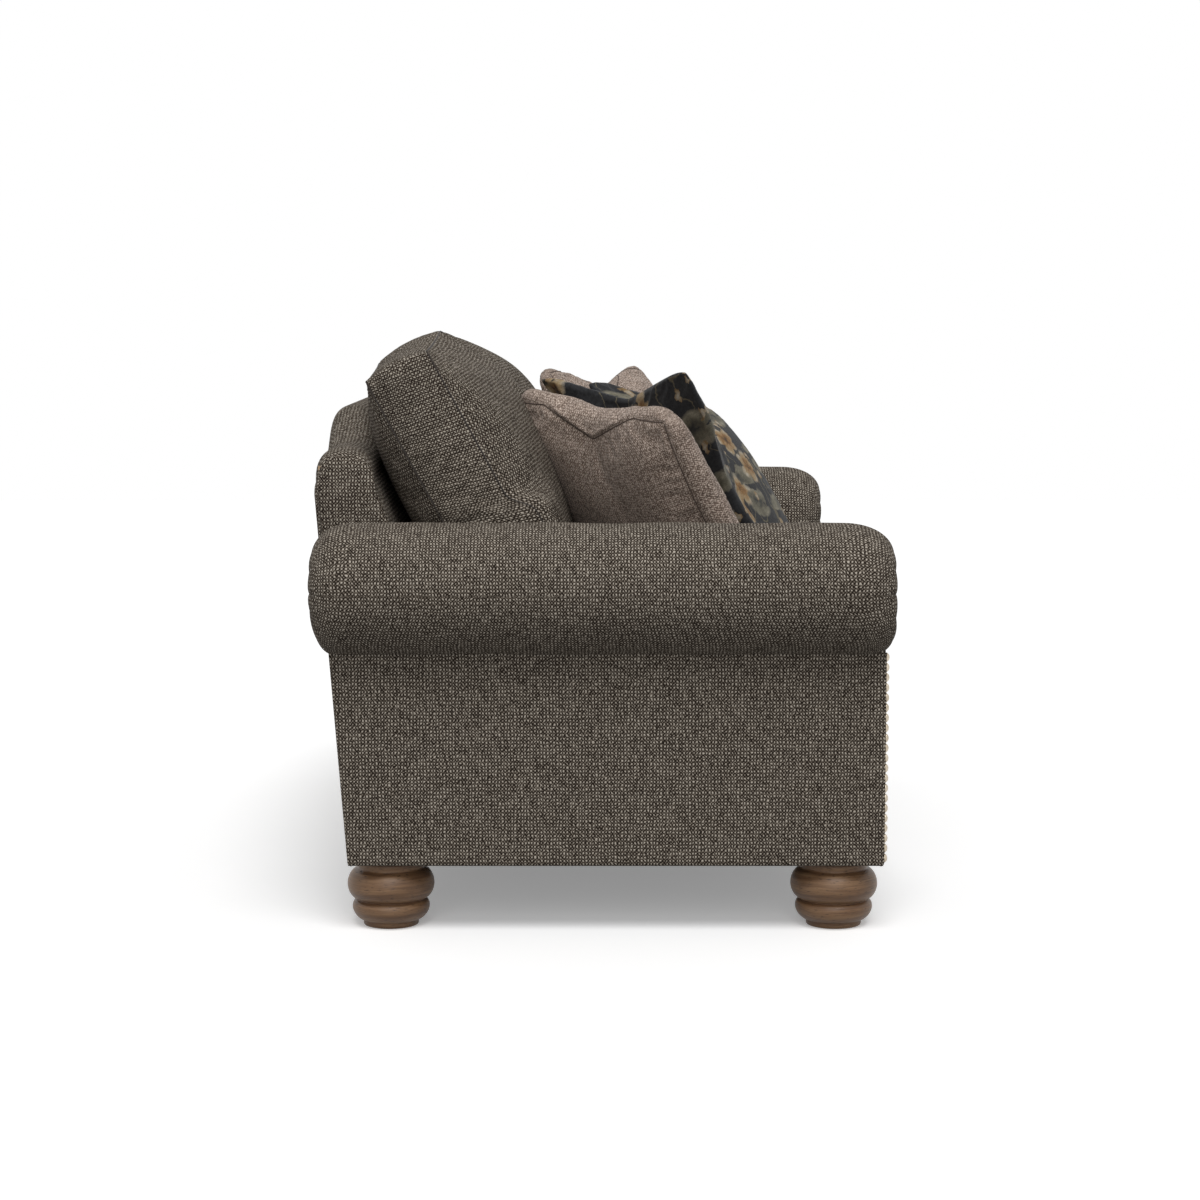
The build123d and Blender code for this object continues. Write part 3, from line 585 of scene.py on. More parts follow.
def arm_roll(side, sign):
    """Rolled arm: a fat cylinder whose cloth is gathered in pleats at both ends."""
    turns = 176
    theta = np.linspace(0, 2 * pi, turns, endpoint=False)
    low = smooth(-np.sin(theta) * 1.25 - 0.1)
    gather = theta + 0.05 * np.sin(3 * theta + 1.0) + 0.03 * np.sin(7 * theta)
    pleat = 1 - np.abs(np.sin(PLEATS / 2 * gather)) ** 0.45

    def end(face_y, direction, domes, faces):
        """Rings from an end's middle outwards; domes are its lengths and faces its flat radii."""
        dome = lerp(*domes, low)
        face = lerp(*faces, low)
        rings = []
        for k in np.linspace(0, 1, 12)[:-1]:
            y = face_y + direction * (0.004 * (1 - k) ** 2) + 0 * theta
            y = y + direction * PLEAT_DEPTH * pleat * min(1, k * 2.2) * smooth(k * 1.6)
            rings.append((face * k, y))
        for k in np.linspace(0, 1, 18):
            a = k * pi / 2
            fade = (1 - k) ** 1.3
            r = face + (ROLL_R - face) * sin(a) ** 0.92
            y = face_y + direction * dome * (1 - cos(a) ** 0.92)
            r = r - PLEAT_DEPTH * pleat * fade * smooth(k * 6)
            y = y + direction * PLEAT_DEPTH * pleat * fade
            rings.append((r, y))
        return rings

    front = end(ROLL_FRONT, 1, (0.088, 0.046), (0.054, 0.074))
    rear = end(ROLL_REAR, -1, (0.074, 0.044), (0.046, 0.030))
    body = []
    for t in np.linspace(0, 1, 42)[1:-1]:
        crease = 0.0012 * np.sin(t * 23.0 + 2 * theta) * np.sin(pi * t) ** 0.5
        body.append((ROLL_R - crease, lerp(front[-1][1], rear[-1][1], t)))
    rings = []
    for r, y in front + body + rear[::-1]:
        x, z = sign * (ROLL_X + r * np.cos(theta)), ROLL_Z + r * np.sin(theta)
        rings.append(np.stack([x, y + 0 * theta, z], -1))
    rings = np.array(rings)
    step = np.linalg.norm(np.diff(rings, axis=0), axis=2).mean(1)
    along = np.concatenate([[0], np.cumsum(step)])
    shell = closed_rings(Shell(), rings, along, np.linspace(0, 2 * pi * ROLL_R, turns + 1))
    frame_cloth(shell, f"{side}_arm_roll", fill=0.9, ends_only=True)


def arm_panels(side, sign):
    """Outside panel, front panel and inside pad of one arm."""
    x = sign * (ARM_OUT - PANEL / 2)
    front, top = STUMP_FRONT - 0.0105, PANEL_TOP + 0.02
    corners = [
        (x, front, BASE),
        (x, arm_rear_y(BASE) - 0.001, BASE),
        (x, arm_rear_y(PANEL_TOP) - 0.001, top),
        (x, front, top),
    ]
    shell = soft_slab(Shell(), corners, (sign, 0, 0), (70, 36), crown=0.0015)
    frame_cloth(shell, f"{side}_outside_arm")

    def up_to_roll(middle, t):
        middle[..., 2] = lerp(BASE, under_roll(middle[..., 0]), t)
        return middle

    y = (ARM_FRONT + STUMP_FRONT) / 2
    low, high = sorted((sign * ARM_IN, sign * (ARM_OUT - LIP)))
    corners = [(low, y, BASE), (high, y, BASE), (high, y, STUMP_TOP), (low, y, STUMP_TOP)]
    shell = soft_slab(Shell(), corners, (0, -1, 0), (30, 50), crown=0.001, shape=up_to_roll)
    frame_cloth(shell, f"{side}_arm_front")

    thickness, low = 0.025, 0.3443
    x = sign * (ARM_IN + thickness / 2)
    rear = inside_y(0.46) + 0.06
    corners = [
        (x, STUMP_FRONT, low),
        (x, rear, low),
        (x, rear + 0.06, ROLL_Z),
        (x, STUMP_FRONT, ROLL_Z),
    ]
    shell = soft_slab(Shell(), corners, (-sign, 0, 0), (60, 24), thickness, rim=0.012)
    frame_cloth(shell, f"{side}_inside_arm", fill=0.8)


def nail_heads(side, sign):
    """Domed heads in two rows down the arm front, with their shanks."""
    shell = Shell()
    axes = ((1, 0, 0), (0, 0, 1), (0, -1, 0))
    profile = [(0.0, 0.0052), (0.0022, 0.0050), (0.0044, 0.0042), (0.0062, 0.0029), (0.0074, 0.0014)]
    profile += [(0.0080, 0.0002), (0.0078, -0.0006), (0.0013, -0.0006), (0.0013, -0.0085)]
    profile += [(0.0, -0.0090)]
    for x, count in zip((ARM_OUT - NAIL_INSET, ARM_IN + NAIL_INSET), NAIL_COUNTS):
        for i in range(count):
            place = (sign * x, ARM_FRONT - 0.0003, BASE + NAIL_LOW + NAIL_PITCH * i)
            turned(shell, profile, place, axes, sides=20, step=0.002, girth=0.05)
    dress(shell.build(f"{side}_nail_heads", NAIL), "frame", "nail_metal", f"{side}_nailheads")


# Back, border, deck and feet


def inside_back():
    """Padded back that rolls over the camel top, with soft ends."""
    end, roll, square = 0.052, 0.052, 0.85
    low_rear = rear_y(DECK_LOW) - REAR_SKIN
    rings = []
    for x in lerp(-1, 1, spread(150, 0.5)) * BACK_HALF:
        past = np.clip((abs(x) - (BACK_HALF - end)) / end, 0, 1)
        shrink = 1 - np.sqrt(max(0.0, 1 - past**2))
        inset = 0.007 * shrink
        top = float(camel_z(x)) - 0.030 * shrink
        high_front, high_rear = inside_y(top - roll), rear_y(top - roll) - REAR_SKIN
        half = (high_rear - high_front - 2 * inset) / 2
        centre = high_front + inset + half
        points = []
        for t in np.linspace(0, 1, 30):
            z = lerp(DECK_LOW, top - roll, t)
            points.append((inside_y(z) + inset, z))
        for t in np.linspace(0, 1, 24)[1:-1]:
            a = pi * (1 - t)
            wide = abs(cos(a)) ** square * (1 if cos(a) > 0 else -1)
            points.append((centre + half * wide, top - roll + roll * abs(sin(a)) ** square))
        for t in np.linspace(1, 0, 24):
            z = lerp(DECK_LOW, top - roll, t)
            points.append((lerp(low_rear, high_rear, t) - inset, z))
        rings.append([(x, y, z) for y, z in points])
    rings = np.array(rings)
    ends = rings[:1], rings[-1:]
    caps = [ring.mean(1, keepdims=True).repeat(rings.shape[1], 1) for ring in ends]
    halves = [lerp(ring, cap, 0.5) for ring, cap in zip(ends, caps)]
    rings = np.concatenate([caps[0], halves[0], rings, halves[1], caps[1]])
    shell = closed_rings(Shell(), rings, np.zeros(rings.shape[0]), np.zeros(rings.shape[1] + 1))
    frame_cloth(shell, "inside_back", fill=0.8)


def outside_back():
    """Camel-shaped rear panel, and at both sides a lower wing behind the arm with a step up to it."""
    shell = Shell()
    half, corner = BACK_HALF - 0.016, 0.055

    def camel_top(middle, t):
        x = middle[..., 0]
        past = np.clip((np.abs(x) - (half - corner)) / corner, 0, 1)
        top = camel_z(x, 0.058) - 0.034 * (1 - np.sqrt(1 - past**2))
        middle[..., 2] = lerp(BASE, top, t)
        middle[..., 1] = rear_y(middle[..., 2]) - PANEL / 2
        return middle

    def wing(middle, t):
        middle[..., 2] = lerp(BASE, under_roll(middle[..., 0]), t)
        middle[..., 1] = arm_rear_y(middle[..., 2]) - PANEL / 2
        return middle

    corners = [(half, 0, BASE), (-half, 0, BASE), (-half, 0, HUMP), (half, 0, HUMP)]
    soft_slab(shell, corners, (0, 1, 0), (150, 60), shape=camel_top)
    for sign in (-1, 1):
        low, high = sorted((sign * BACK_HALF, sign * (ARM_OUT - LIP)))
        corners = [(high, 0, BASE), (low, 0, BASE), (low, 0, REAR_TOP), (high, 0, REAR_TOP)]
        soft_slab(shell, corners, (0, 1, 0), (24, 36), shape=wing)
        x = sign * (BACK_HALF - 0.006)
        corners = [
            (x, arm_rear_y(BASE) - 0.010, BASE),
            (x, rear_y(BASE) - 0.004, BASE),
            (x, rear_y(REAR_TOP) - 0.004, REAR_TOP),
            (x, arm_rear_y(REAR_TOP) - 0.010, REAR_TOP),
        ]
        soft_slab(shell, corners, (sign, 0, 0), (12, 30), thickness=0.024, rim=0.008)
    frame_cloth(shell, "outside_back")


def front_and_deck():
    """Front border under the seat and the deck that the seat cushions lie on."""
    y = BORDER_Y
    corners = [(-ARM_IN, y, BASE), (ARM_IN, y, BASE), (ARM_IN, y, DECK_LOW), (-ARM_IN, y, DECK_LOW)]
    frame_cloth(soft_slab(Shell(), corners, (0, -1, 0), (110, 26), crown=0.001), "front_border")
    z = (DECK_LOW + DECK) / 2
    half = ARM_IN - 0.0003
    rear = inside_y(z) - 0.001
    corners = [(-half, DECK_FRONT, z), (half, DECK_FRONT, z), (half, rear, z), (-half, rear, z)]
    shell = soft_slab(Shell(), corners, (0, 0, 1), (110, 60), thickness=0.011, rim=0.0055)
    frame_cloth(shell, "seat_deck")


def bun_foot(name, x, y):
    """Turned foot: base disc, lower ring, groove, ball and neck, as radius and height."""

    def bead(z0, z1, r0, r_mid, r1, n):
        """Round bead between two heights, through its own widest radius."""
        out = []
        for t in np.linspace(0, 1, n):
            edge = lerp(r0, r1, t)
            out.append((edge + (r_mid - (r0 + r1) / 2) * (4 * t * (1 - t)) ** 0.62, lerp(z0, z1, t)))
        return out

    profile = [(0.0, 0.0), (0.044, 0.0), (0.0462, 0.0006), (0.047, 0.0022), (0.047, 0.0085)]
    profile += [(0.0478, 0.0098)]
    profile += bead(0.0100, 0.0440, 0.0490, 0.0650, 0.0585, 20)
    profile += [(0.0574, 0.0450)]
    profile += bead(0.0460, 0.0975, 0.0585, 0.0740, 0.0580, 26)
    profile += [(0.0565, 0.0985), (0.0560, 0.1010), (0.0566, 0.1040), (0.0572, 0.1060)]
    profile += [(0.0570, 0.1148), (0.0, 0.1150)]
    axes = ((1, 0, 0), (0, 1, 0), (0, 0, 1))
    shell = turned(Shell(), profile, (x, y, 0.0), axes, sides=96, step=0.004, girth=0.4)
    dress(shell.build(f"{name}_turned", FOOT), "frame", "foot_wood", name)


# Seat and back cushions


def even_swell(u, v):
    """Fullness of a cushion face, highest in the middle."""
    return ((1 - np.abs(2 * u - 1) ** 2.4) * (1 - np.abs(2 * v - 1) ** 2.4)) ** 0.72


def boxed_cushion(front, back, outward, crowns, pulls, bulges, n, swells, hook=0.0, trim=0.012):
    """Boxed cushion between two seam loops, with the points of both loops.

    A loop's corners run low-outer, low-inner, high-inner, high-outer. crowns and swells are the height
    and shape of both faces, pulls and bulges how far the low, high, outer and inner edges draw in and
    their boxing swells. hook swings the front seam's outer run forward low down; trim rounds corners.
    """
    shell = Shell()
    us, vs = spread(n[0], 0.55), spread(n[1], 0.55)
    u, v = np.meshgrid(us, vs, indexing="ij")
    u3, v3 = u[..., None], v[..., None]
    out = np.array(outward, float)
    rounding = (trim * (np.abs(2 * u - 1) * np.abs(2 * v - 1)) ** 26)[..., None]
    rings = []
    for k, corners in enumerate((front, back)):
        a, b, c, d = [np.array(p, float) for p in corners]
        middle = (a + b + c + d) / 4
        edges = []
        for (start, end, ts), pull in zip(((a, b, us), (d, c, us), (a, d, vs), (b, c, vs)), pulls):
            inward = middle - (start + end) / 2
            inward /= np.linalg.norm(inward)
            sag = pull * (1 - np.abs(2 * ts - 1) ** 3.2)
            edges.append(lerp(start, end, ts[:, None]) + inward * sag[:, None])
        low, high, first, last = edges
        patch = lerp(low[:, None], high[:, None], v3) + lerp(first[None], last[None], u3)
        patch -= lerp(lerp(a, b, u3), lerp(d, c, u3), v3)
        patch -= (patch - middle) * rounding
        if k == 0 and hook:
            swing = smooth((0.46 - v) / 0.10) * smooth(v / 0.2) * smooth(1 - u * 4)
            patch = patch + out * (hook * swing)[..., None]
        loop = (patch[:, 0], patch[-1, 1:], patch[-2::-1, -1], patch[0, -2:0:-1])
        rings.append(np.concatenate(loop))
        patch = patch + out * ((1, -1)[k] * crowns[k] * swells[k](u, v))[..., None]
        shell.grid(patch, arc_uv(patch), k == 1)
    near, far = rings
    along = np.roll(near, -1, 0) - np.roll(near, 1, 0)
    away = np.cross(along, out)
    away /= np.linalg.norm(away, axis=1)[:, None]
    if np.sum(away * (near - near.mean(0))) < 0:
        away = -away
    low, high, outer, inner = bulges
    puff = np.repeat((low, inner, high, outer), (len(us) - 1, len(vs) - 1) * 2)
    for _ in range(8):
        puff = (np.roll(puff, 1) + 2 * puff + np.roll(puff, -1)) / 4
        away = (np.roll(away, 1, 0) + 2 * away + np.roll(away, -1, 0)) / 4
    w = spread(n[2], 0.5)
    strip = lerp(near[:, None], far[:, None], w[None, :, None])
    strip = strip + away[:, None] * (puff[:, None] * np.sin(pi * w)[None] ** 0.7)[..., None]
    strip = np.concatenate([strip, strip[:1]])
    shell.grid(strip, arc_uv(strip))
    return shell, rings


def dress_cushion(piece, body, rings, fill):
    """Dress a boxed cushion, and sew a line round both its loops."""
    dress(piece, body, "tweed", f"{body}_cover", f"{body}_core", fill=fill)
    loops = [np.concatenate([ring, ring[:1]]) for ring in rings]
    dress(thread(f"{body}_seams", loops, SEAM_RADIUS, SEAM), body, "tweed")


def seat_cushion(side, sign):
    """Straight seat cushion with a low crown."""
    x0, x1, y0, y1 = 0.003, 0.649, -0.463, 0.214
    z0, z1, crown = 0.3625, 0.505, 0.0135

    def loop(z):
        return [(sign * x1, y0, z), (sign * x0, y0, z), (sign * x0, y1, z), (sign * x1, y1, z)]

    def fit(points):
        """Keep clear of the arm, the other cushion, the back and the deck."""
        x = np.clip(points[:, 0] * sign, x0 - 0.002, x1 + 0.002)
        y = np.clip(points[:, 1], y0 - 0.012, y1 + 0.001)
        return np.stack([sign * x, y, np.clip(points[:, 2], z0 - 0.001, z1 + crown)], -1)

    shell, rings = boxed_cushion(
        loop(z1), loop(z0), outward=(0, 0, 1), crowns=(crown, 0.0), swells=(even_swell, even_swell),
        pulls=(0.004, 0.003, 0.002, 0.002), bulges=(0.009, 0.002, 0.0015, 0.0015), n=(60, 60, 14),
    )
    piece = shell.build(f"{side}_seat_cushion", TWEED)
    settle(piece, np.concatenate(rings), pressure=2.0, cap=0.006, fit=fit)
    dress_cushion(piece, f"{side}_seat", rings, fill=0.85)


def top_heavy(u, v):
    """Fullness of a back cushion's front: most near the top and towards the inner end."""
    peak = 0.66
    up = np.clip((v - peak) / (1 - peak), 0, 1)
    down = np.clip((peak - v) / peak, 0, 1)
    rise = (1 - up**1.75) ** 0.72 * (1 - down**2.3) ** 0.8
    ends = (1 - np.abs(2 * u - 1) ** 2.7) ** 0.55
    return rise * ends * lerp(0.84, 1.0, smooth(u * 1.4))


def low_slung(u, v):
    """Fullness of a back cushion's rear: most below the middle."""
    peak = 0.42
    up = np.clip((v - peak) / 0.58, 0, 1)
    down = np.clip((peak - v) / peak, 0, 1)
    return ((1 - up**2.2) * (1 - down**2.4)) ** 0.6 * (1 - np.abs(2 * u - 1) ** 4) ** 0.5


def back_cushion(side, sign):
    """Back cushion: a leaning box with full faces and pinched corners."""
    xo, xi = sign * 0.646, sign * 0.003
    front = [(xo, 0.046, 0.522), (xi, 0.046, 0.522), (xi, 0.306, 1.000), (xo, 0.291, 0.973)]
    back = [(xo, 0.178, 0.522), (xi, 0.198, 0.522), (xi, 0.424, 0.938), (xo, 0.394, 0.921)]
    lean = radians(28)

    def fit(points):
        """Keep clear of the arm, the other cushion, the seat, the back and the pillow in front."""
        x, y, z = points[:, 0] * sign, points[:, 1], points[:, 2]
        x = np.clip(x, 0.0015, 0.6515 + 0.03 * smooth((z - 0.69) / 0.10))
        back_top = camel_z(x) - 0.055
        room = inside_y(np.minimum(z, back_top)) - 0.003 + 3.0 * np.maximum(0, z - back_top)
        placed = np.stack([sign * x, np.minimum(y, room), np.maximum(z, SEAT_TOP)], -1)
        return make_room(placed, f"{side}_taupe", -1, gap=0.004)

    shell, rings = boxed_cushion(
        front, back, outward=(0, -cos(lean), sin(lean)), crowns=(0.088, 0.046),
        pulls=(0.004, 0.003, 0.006, 0.006), bulges=(0.002, 0.007, 0.010, 0.0012), n=(84, 76, 18),
        swells=(top_heavy, low_slung), hook=0.034, trim=0.003,
    )
    piece = shell.build(f"{side}_back_cushion", TWEED)
    set_points(piece.data, fit(mesh_points(piece.data)))
    settle(piece, np.concatenate(rings), pressure=3.0, cap=0.014, fit=fit)
    dress_cushion(piece, f"{side}_back", rings, fill=0.8)


# Pillows

STITCH_V = 0.56  # half width of the stitched line's V, as a share of half the pillow
STITCH_SINK, STITCH_REACH = 0.0042, 0.0052  # depth and half width of the stitched groove
RIPPLE = 0.0020  # height of the waves in a face


class Pillow:
    """Place, outline and fullness of one pillow, in its own x and y from its middle.

    turns are yaw, lean and roll. dips are those of the edge and the stitched line, depths those of front
    and back, ears how far the two top corners stand out, and tuck draws in the first side low down.
    """

    def __init__(self, origin, turns, size, flange, dips, depths, ears, tuck=0.0):
        self.origin, self.axes = np.array(origin), pillow_axes(*turns)
        self.half, self.flange, self.dips = size / 2, flange, dips
        self.depths, self.ears, self.tuck = depths, ears, tuck

    def low(self, x):
        """Bottom edge."""
        return -self.half + 0.008 * (1 - np.clip(x / self.half, -1, 1) ** 2)

    def high(self, x):
        """Top edge."""
        return self.half - notch(x, self.half, self.dips[0], soft=0.020)

    def side(self, y):
        """Second side; the first is its mirror image."""
        pull = 0.004 if self.flange else 0.034
        return self.half - pull * (1 - np.clip(y / self.half, -1, 1) ** 2)

    def roof(self, x):
        """Stitched line along the top edge."""
        return self.half - self.flange - notch(x, STITCH_V * self.half, self.dips[1], soft=0.006)

    def shares(self, x, y):
        """Shares of the width and of the height."""
        low = self.low(x)
        return (x / self.side(y) + 1) / 2, (y - low) / (self.high(x) - low)

    def from_stitching(self, x, y):
        """Distance inwards from the stitched line."""
        inner, floor_y = self.side(y) - self.flange, self.low(x) + self.flange
        across = np.minimum(x + inner, inner - x)
        return np.minimum(across, np.minimum(y - floor_y, self.roof(x) - y))

    def faces(self, x, y, u, v):
        """Depth of the front and of the back."""
        body = 16 * u * (1 - u) * v * (1 - v)
        body = np.maximum(body, 0) ** (0.40 if self.flange else 0.47)
        rim = 0 * x
        if self.flange:
            stitch = self.from_stitching(x, y)
            rim = -STITCH_SINK * np.exp(-((stitch / STITCH_REACH) ** 2)) * smooth(body * 3)
        ripple = RIPPLE * np.sin(31 * x + 9 * y) * np.sin(27 * y - 11 * x) * body
        below = y - self.half + self.dips[1]
        dent = 1 - 0.20 * np.exp(-((x / 0.09) ** 2) - (below / 0.13) ** 2)
        return [np.maximum(0, depth * body * dent + ripple + rim) for depth in self.depths]


def pillow_axes(yaw, lean, roll):
    """Own x, own y and normal of a leaning pillow."""
    yaw, lean, roll = radians(yaw), radians(lean), radians(roll)
    facing = np.array([cos(yaw), sin(yaw), 0])
    across = np.array([-facing[1], facing[0], 0])
    upward = np.array([0, 0, cos(lean)]) - facing * sin(lean)
    normal = facing * cos(lean) + np.array([0, 0, sin(lean)])
    return across * cos(roll) + upward * sin(roll), upward * cos(roll) - across * sin(roll), normal


def notch(x, half, dip, soft):
    """Height lost at x to a V in a top edge, with a round bottom of radius soft."""
    t = np.clip((np.sqrt(x**2 + soft**2) - soft) / (half - soft), 0, 1)
    return dip * (1 - t) ** 1.2


def make_room(points, name, face, gap):
    """Press points off one face of a pillow: behind its back for -1, before its front for 1."""
    made = PILLOWS[name]
    ex, ey, ez = made.axes
    local = points - made.origin
    x, y, z = local @ ex, local @ ey, local @ ez
    u, v = made.shares(x, y)
    past = np.maximum(np.maximum(-u, u - 1), np.maximum(-v, v - 1))
    inside = smooth(1 - past / 0.08)
    depths = made.faces(x, y, np.clip(u, 0, 1), np.clip(v, 0, 1))
    over = np.maximum(0, depths[(1 - face) // 2] + gap - face * z)
    return points + (face * over * inside)[..., None] * ez


def pillow(side, kind, material):
    """Square pillow with a dent in its top edge."""
    name = f"{side}_{kind}"
    made = PILLOWS[name]
    ex, ey, ez = made.axes
    s = spread(112, 0.35)
    u, v = np.meshgrid(s, s, indexing="ij")
    xs = lerp(-made.half, made.half, u)
    y = lerp(made.low(xs), made.high(xs), v)
    x = lerp(-made.side(y), made.side(y), u)
    trim, power = (0.100, 8) if made.flange else (0.034, 12)

    def lay(x, y, u, v):
        """Points of the outline's plane, with round corners and the set of the ears."""
        round_off = 1 - trim * (np.abs(2 * u - 1) * np.abs(2 * v - 1)) ** power
        px, py = x * round_off, y * round_off
        for weight, (dx, dy) in zip((1 - u, u), made.ears):
            share = smooth(weight * 1.15 - 0.15) * np.clip(v, 0, 1) ** 2.2
            px, py = px + dx * share, py + dy * share
        px = px + made.tuck * (1 - u) ** 1.5 * smooth((0.86 - v) / 0.5)
        return made.origin + px[..., None] * ex + py[..., None] * ey

    def fit(points):
        """Rest on the seat, and clear of the pillow behind."""
        points = np.concatenate([points[:, :2], np.maximum(points[:, 2:], SEAT_TOP)], 1)
        return make_room(points, f"{side}_taupe", 1, gap=0.002) if kind == "flower" else points

    base = lay(x, y, u, v)
    faces = made.faces(x, y, u, v)
    uv = arc_uv(base + ez * faces[1][..., None])
    piece = pad_grids(Shell(), base, ez, *faces, uv).build(f"{name}_pillow", material)
    set_points(piece.data, fit(mesh_points(piece.data)))
    if made.flange:
        held = np.abs(made.from_stitching(x, y)) < 0.0026
        sewn = [(base + sign * ez * face[..., None])[held] for sign, face in zip((1, -1), faces)]
        sewn = np.concatenate(sewn)
    else:
        sewn = base[(u == 0) | (u == 1) | (v == 0) | (v == 1)]
    settle(piece, sewn, pressure=2.5, cap=0.010, fit=fit)
    slot = f"{kind}_cloth"
    dress(piece, name, slot, f"{name}_pillow_cover", f"{name}_pillow_insert", fill=0.75)
    if made.flange:
        run = np.linspace(-1, 1, 140) * (made.half - made.flange - 0.003)
        lines = [(run, made.roof(run)), (run, made.low(run) + made.flange)]
        lines += [(e * (made.side(run) - made.flange), run) for e in (-1, 1)]
        surface = BVHTree.FromObject(piece, bpy.context.evaluated_depsgraph_get())
        paths = []
        for lx, ly in lines:
            flat = lay(lx, ly, *made.shares(lx, ly))
            for face in (1, -1):
                lift = face * 0.0002 * Vector(ez)
                hits = [surface.ray_cast(Vector(p + face * 0.2 * ez), Vector(-face * ez)) for p in flat]
                paths.append([tuple(hit[0] + lift) for hit in hits if hit[0] is not None])
        dress(thread(f"{name}_stitching", paths, STITCH_RADIUS, STITCH), name, slot)


PILLOWS = {
    "left_taupe": Pillow(
        origin=(-0.430, -0.0851, 0.70603), turns=(-53, 35, 2.5), size=0.446, flange=0.019,
        dips=(0.028, 0.046), depths=(0.054, 0.080), ears=((0, 0), (0, 0.012)),
    ),
    "left_flower": Pillow(
        origin=(-0.293, -0.1571, 0.72207), turns=(-55, 36, -4.5), size=0.484, flange=0.0,
        dips=(0.056, 0.056), depths=(0.052, 0.054), ears=((0.004, 0.010), (0.010, 0.018)), tuck=0.074,
    ),
    "right_taupe": Pillow(
        origin=(0.430, -0.0831, 0.71374), turns=(-118, 28.6, -0.7), size=0.446, flange=0.019,
        dips=(0.054, 0.066), depths=(0.054, 0.078), ears=((-0.012, 0.020), (-0.004, 0.022)),
    ),
    "right_flower": Pillow(
        origin=(0.293, -0.2051, 0.70804), turns=(-116, 36, 0.0), size=0.484, flange=0.0,
        dips=(0.056, 0.056), depths=(0.076, 0.054), ears=((0, -0.006), (0, -0.075)),
    ),
}


# The pieces

for side, sign in SIDES:
    arm_roll(side, sign)
    arm_panels(side, sign)
    nail_heads(side, sign)
    seat_cushion(side, sign)
    back_cushion(side, sign)
    pillow(side, "taupe", TAUPE)
    pillow(side, "flower", FLOWER)
inside_back()
outside_back()
front_and_deck()
for end, y in (("front", FOOT_FRONT), ("rear", FOOT_REAR)):
    for side, sign in SIDES:
        bun_foot(f"{end}_{side}_foot", sign * FOOT_X, y)

# Nodes that keep their own shape take a material of their slot
KEPT = {"frame_wood": FRAME_WOOD, "steel": STEEL, "dust_cloth": DUST, "webbing": WEBBING, "fill": FILL}
for entry in frame["record"]["subparts"]:
    material = KEPT.get(entry["material_slot"])
    if material is not None:
        node = frame["nodes"][entry["node"]]
        node.data.materials.clear()
        node.data.materials.append(material)


# Stage, light and camera

FLOOR_HALF, FLOOR_BOUNCE, FLOOR_LIFT = 9, 0.28, 0.25
DOME_LIGHT = 0.32


def choose_by_ray(tree, unseen, seen):
    """One shader for light that only bounces, and another for camera, glossy and transmission rays."""
    path = tree.nodes.new("ShaderNodeLightPath")
    total = path.outputs["Is Camera Ray"]
    for name in ("Is Glossy Ray", "Is Transmission Ray"):
        most = tree.nodes.new("ShaderNodeMath")
        most.operation = "MAXIMUM"
        tree.links.new(total, most.inputs[0])
        tree.links.new(path.outputs[name], most.inputs[1])
        total = most.outputs[0]
    choose = tree.nodes.new("ShaderNodeMixShader")
    for socket, source in zip(choose.inputs, (total, unseen, seen)):
        tree.links.new(source, socket)
    return choose.outputs[0]


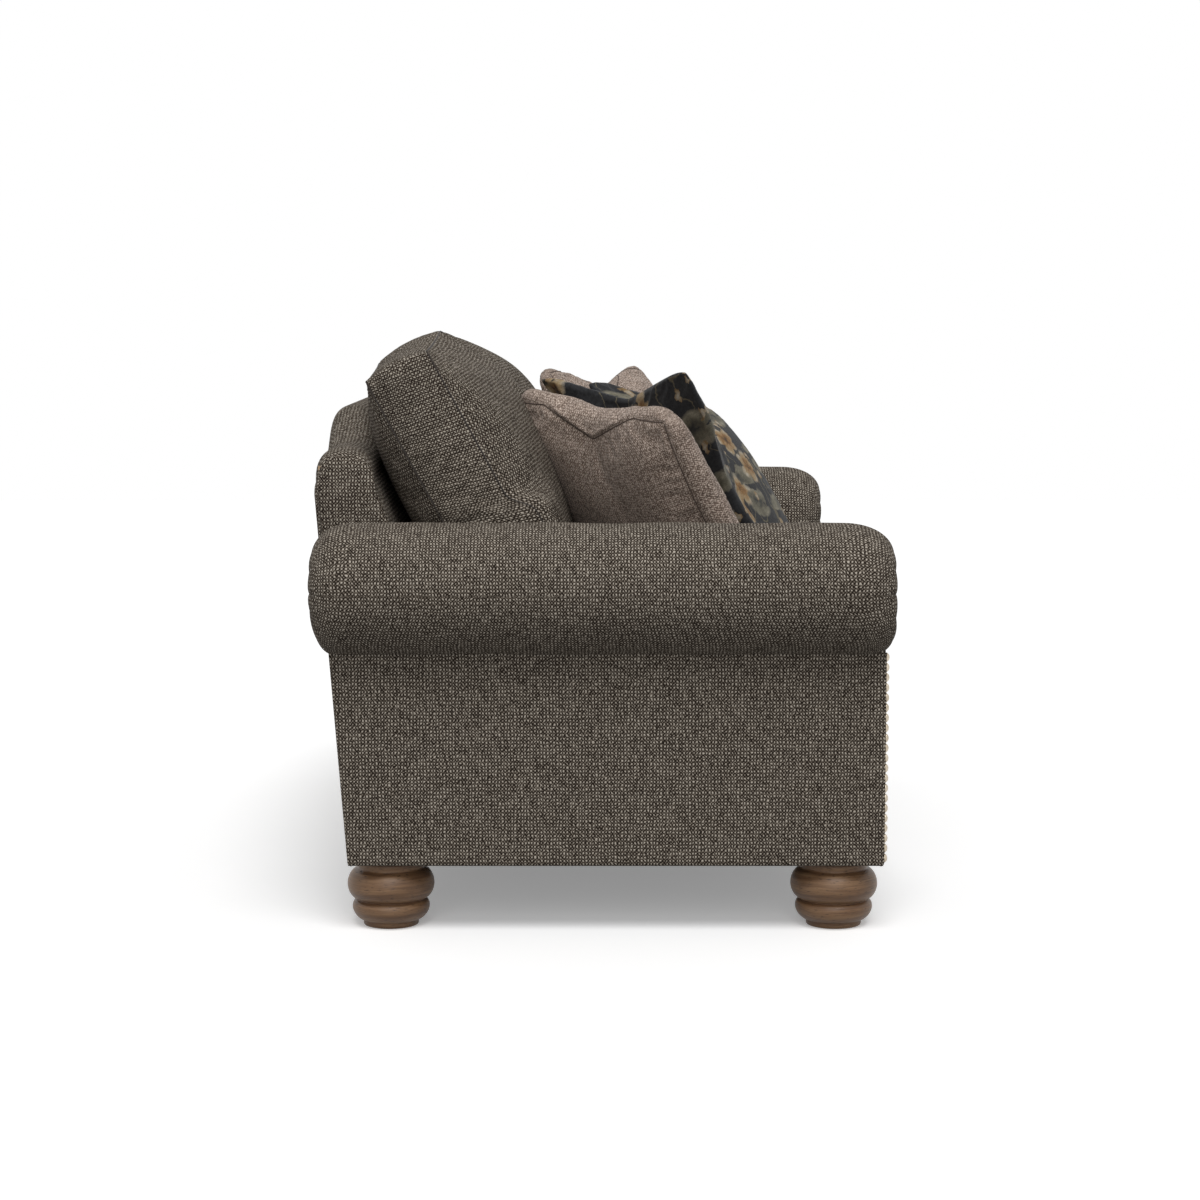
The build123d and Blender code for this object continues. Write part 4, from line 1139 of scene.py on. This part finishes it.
def stage_material():
    """White floor: a dull bounce for light, white with its shadow for what sees the background."""
    mat = bpy.data.materials.new("stage_white")
    mat.use_nodes = True
    tree = mat.node_tree
    tree.nodes.clear()
    out = tree.nodes.new("ShaderNodeOutputMaterial")
    dull = tree.nodes.new("ShaderNodeBsdfDiffuse")
    dull.inputs[0].default_value = (FLOOR_BOUNCE, FLOOR_BOUNCE, FLOOR_BOUNCE, 1)
    plain = tree.nodes.new("ShaderNodeBsdfDiffuse")
    plain.inputs[0].default_value = (*WHITE, 1)
    glow = tree.nodes.new("ShaderNodeEmission")
    glow.inputs[1].default_value = FLOOR_LIFT
    both = tree.nodes.new("ShaderNodeAddShader")
    tree.links.new(plain.outputs[0], both.inputs[0])
    tree.links.new(glow.outputs[0], both.inputs[1])
    tree.links.new(choose_by_ray(tree, dull.outputs[0], both.outputs[0]), out.inputs[0])
    return mat


def studio_world():
    """Even light from all sides, and a white background."""
    world = bpy.data.worlds.new("studio")
    world.use_nodes = True
    tree = world.node_tree
    tree.nodes.clear()
    out = tree.nodes.new("ShaderNodeOutputWorld")
    shaders = []
    for strength in (DOME_LIGHT, 1.0):
        ground = tree.nodes.new("ShaderNodeBackground")
        ground.inputs[0].default_value = (*WHITE, 1)
        ground.inputs[1].default_value = strength
        shaders.append(ground.outputs[0])
    tree.links.new(choose_by_ray(tree, *shaders), out.inputs[0])
    return world


def soft_sun(name, towards, strength, angle):
    """Distant lamp with a wide disc, so that its shadows are soft."""
    data = bpy.data.lights.new(name, "SUN")
    data.energy = strength
    data.angle = radians(angle)
    lamp = bpy.data.objects.new(name, data)
    scene.collection.objects.link(lamp)
    lamp.rotation_euler = (-Vector(towards)).to_track_quat("-Z", "Y").to_euler()


floor_mesh = bpy.data.meshes.new("floor")
floor_corners = [(x * FLOOR_HALF, y * FLOOR_HALF, 0) for x, y in ((-1, -1), (1, -1), (1, 1), (-1, 1))]
floor_mesh.from_pydata(floor_corners, [], [(0, 1, 2, 3)])
floor = bpy.data.objects.new("floor", floor_mesh)
scene.collection.objects.link(floor)
floor_mesh.materials.append(stage_material())

scene.world = studio_world()
soft_sun("key", towards=(-0.46, -0.06, 0.885), strength=1.50, angle=30)
soft_sun("fill", towards=(-0.91, 0.05, 0.41), strength=0.66, angle=36)

camera_data = bpy.data.cameras.new("camera")
camera_data.lens = 80
camera_data.sensor_width = 36
camera_data.clip_end = 100
camera = bpy.data.objects.new("camera", camera_data)
scene.collection.objects.link(camera)
camera.location = (-5.1929, -0.004, 1.0551)
camera.rotation_euler = (radians(83.633), 0, radians(-90))
scene.camera = camera

scene.view_settings.view_transform = "Standard"
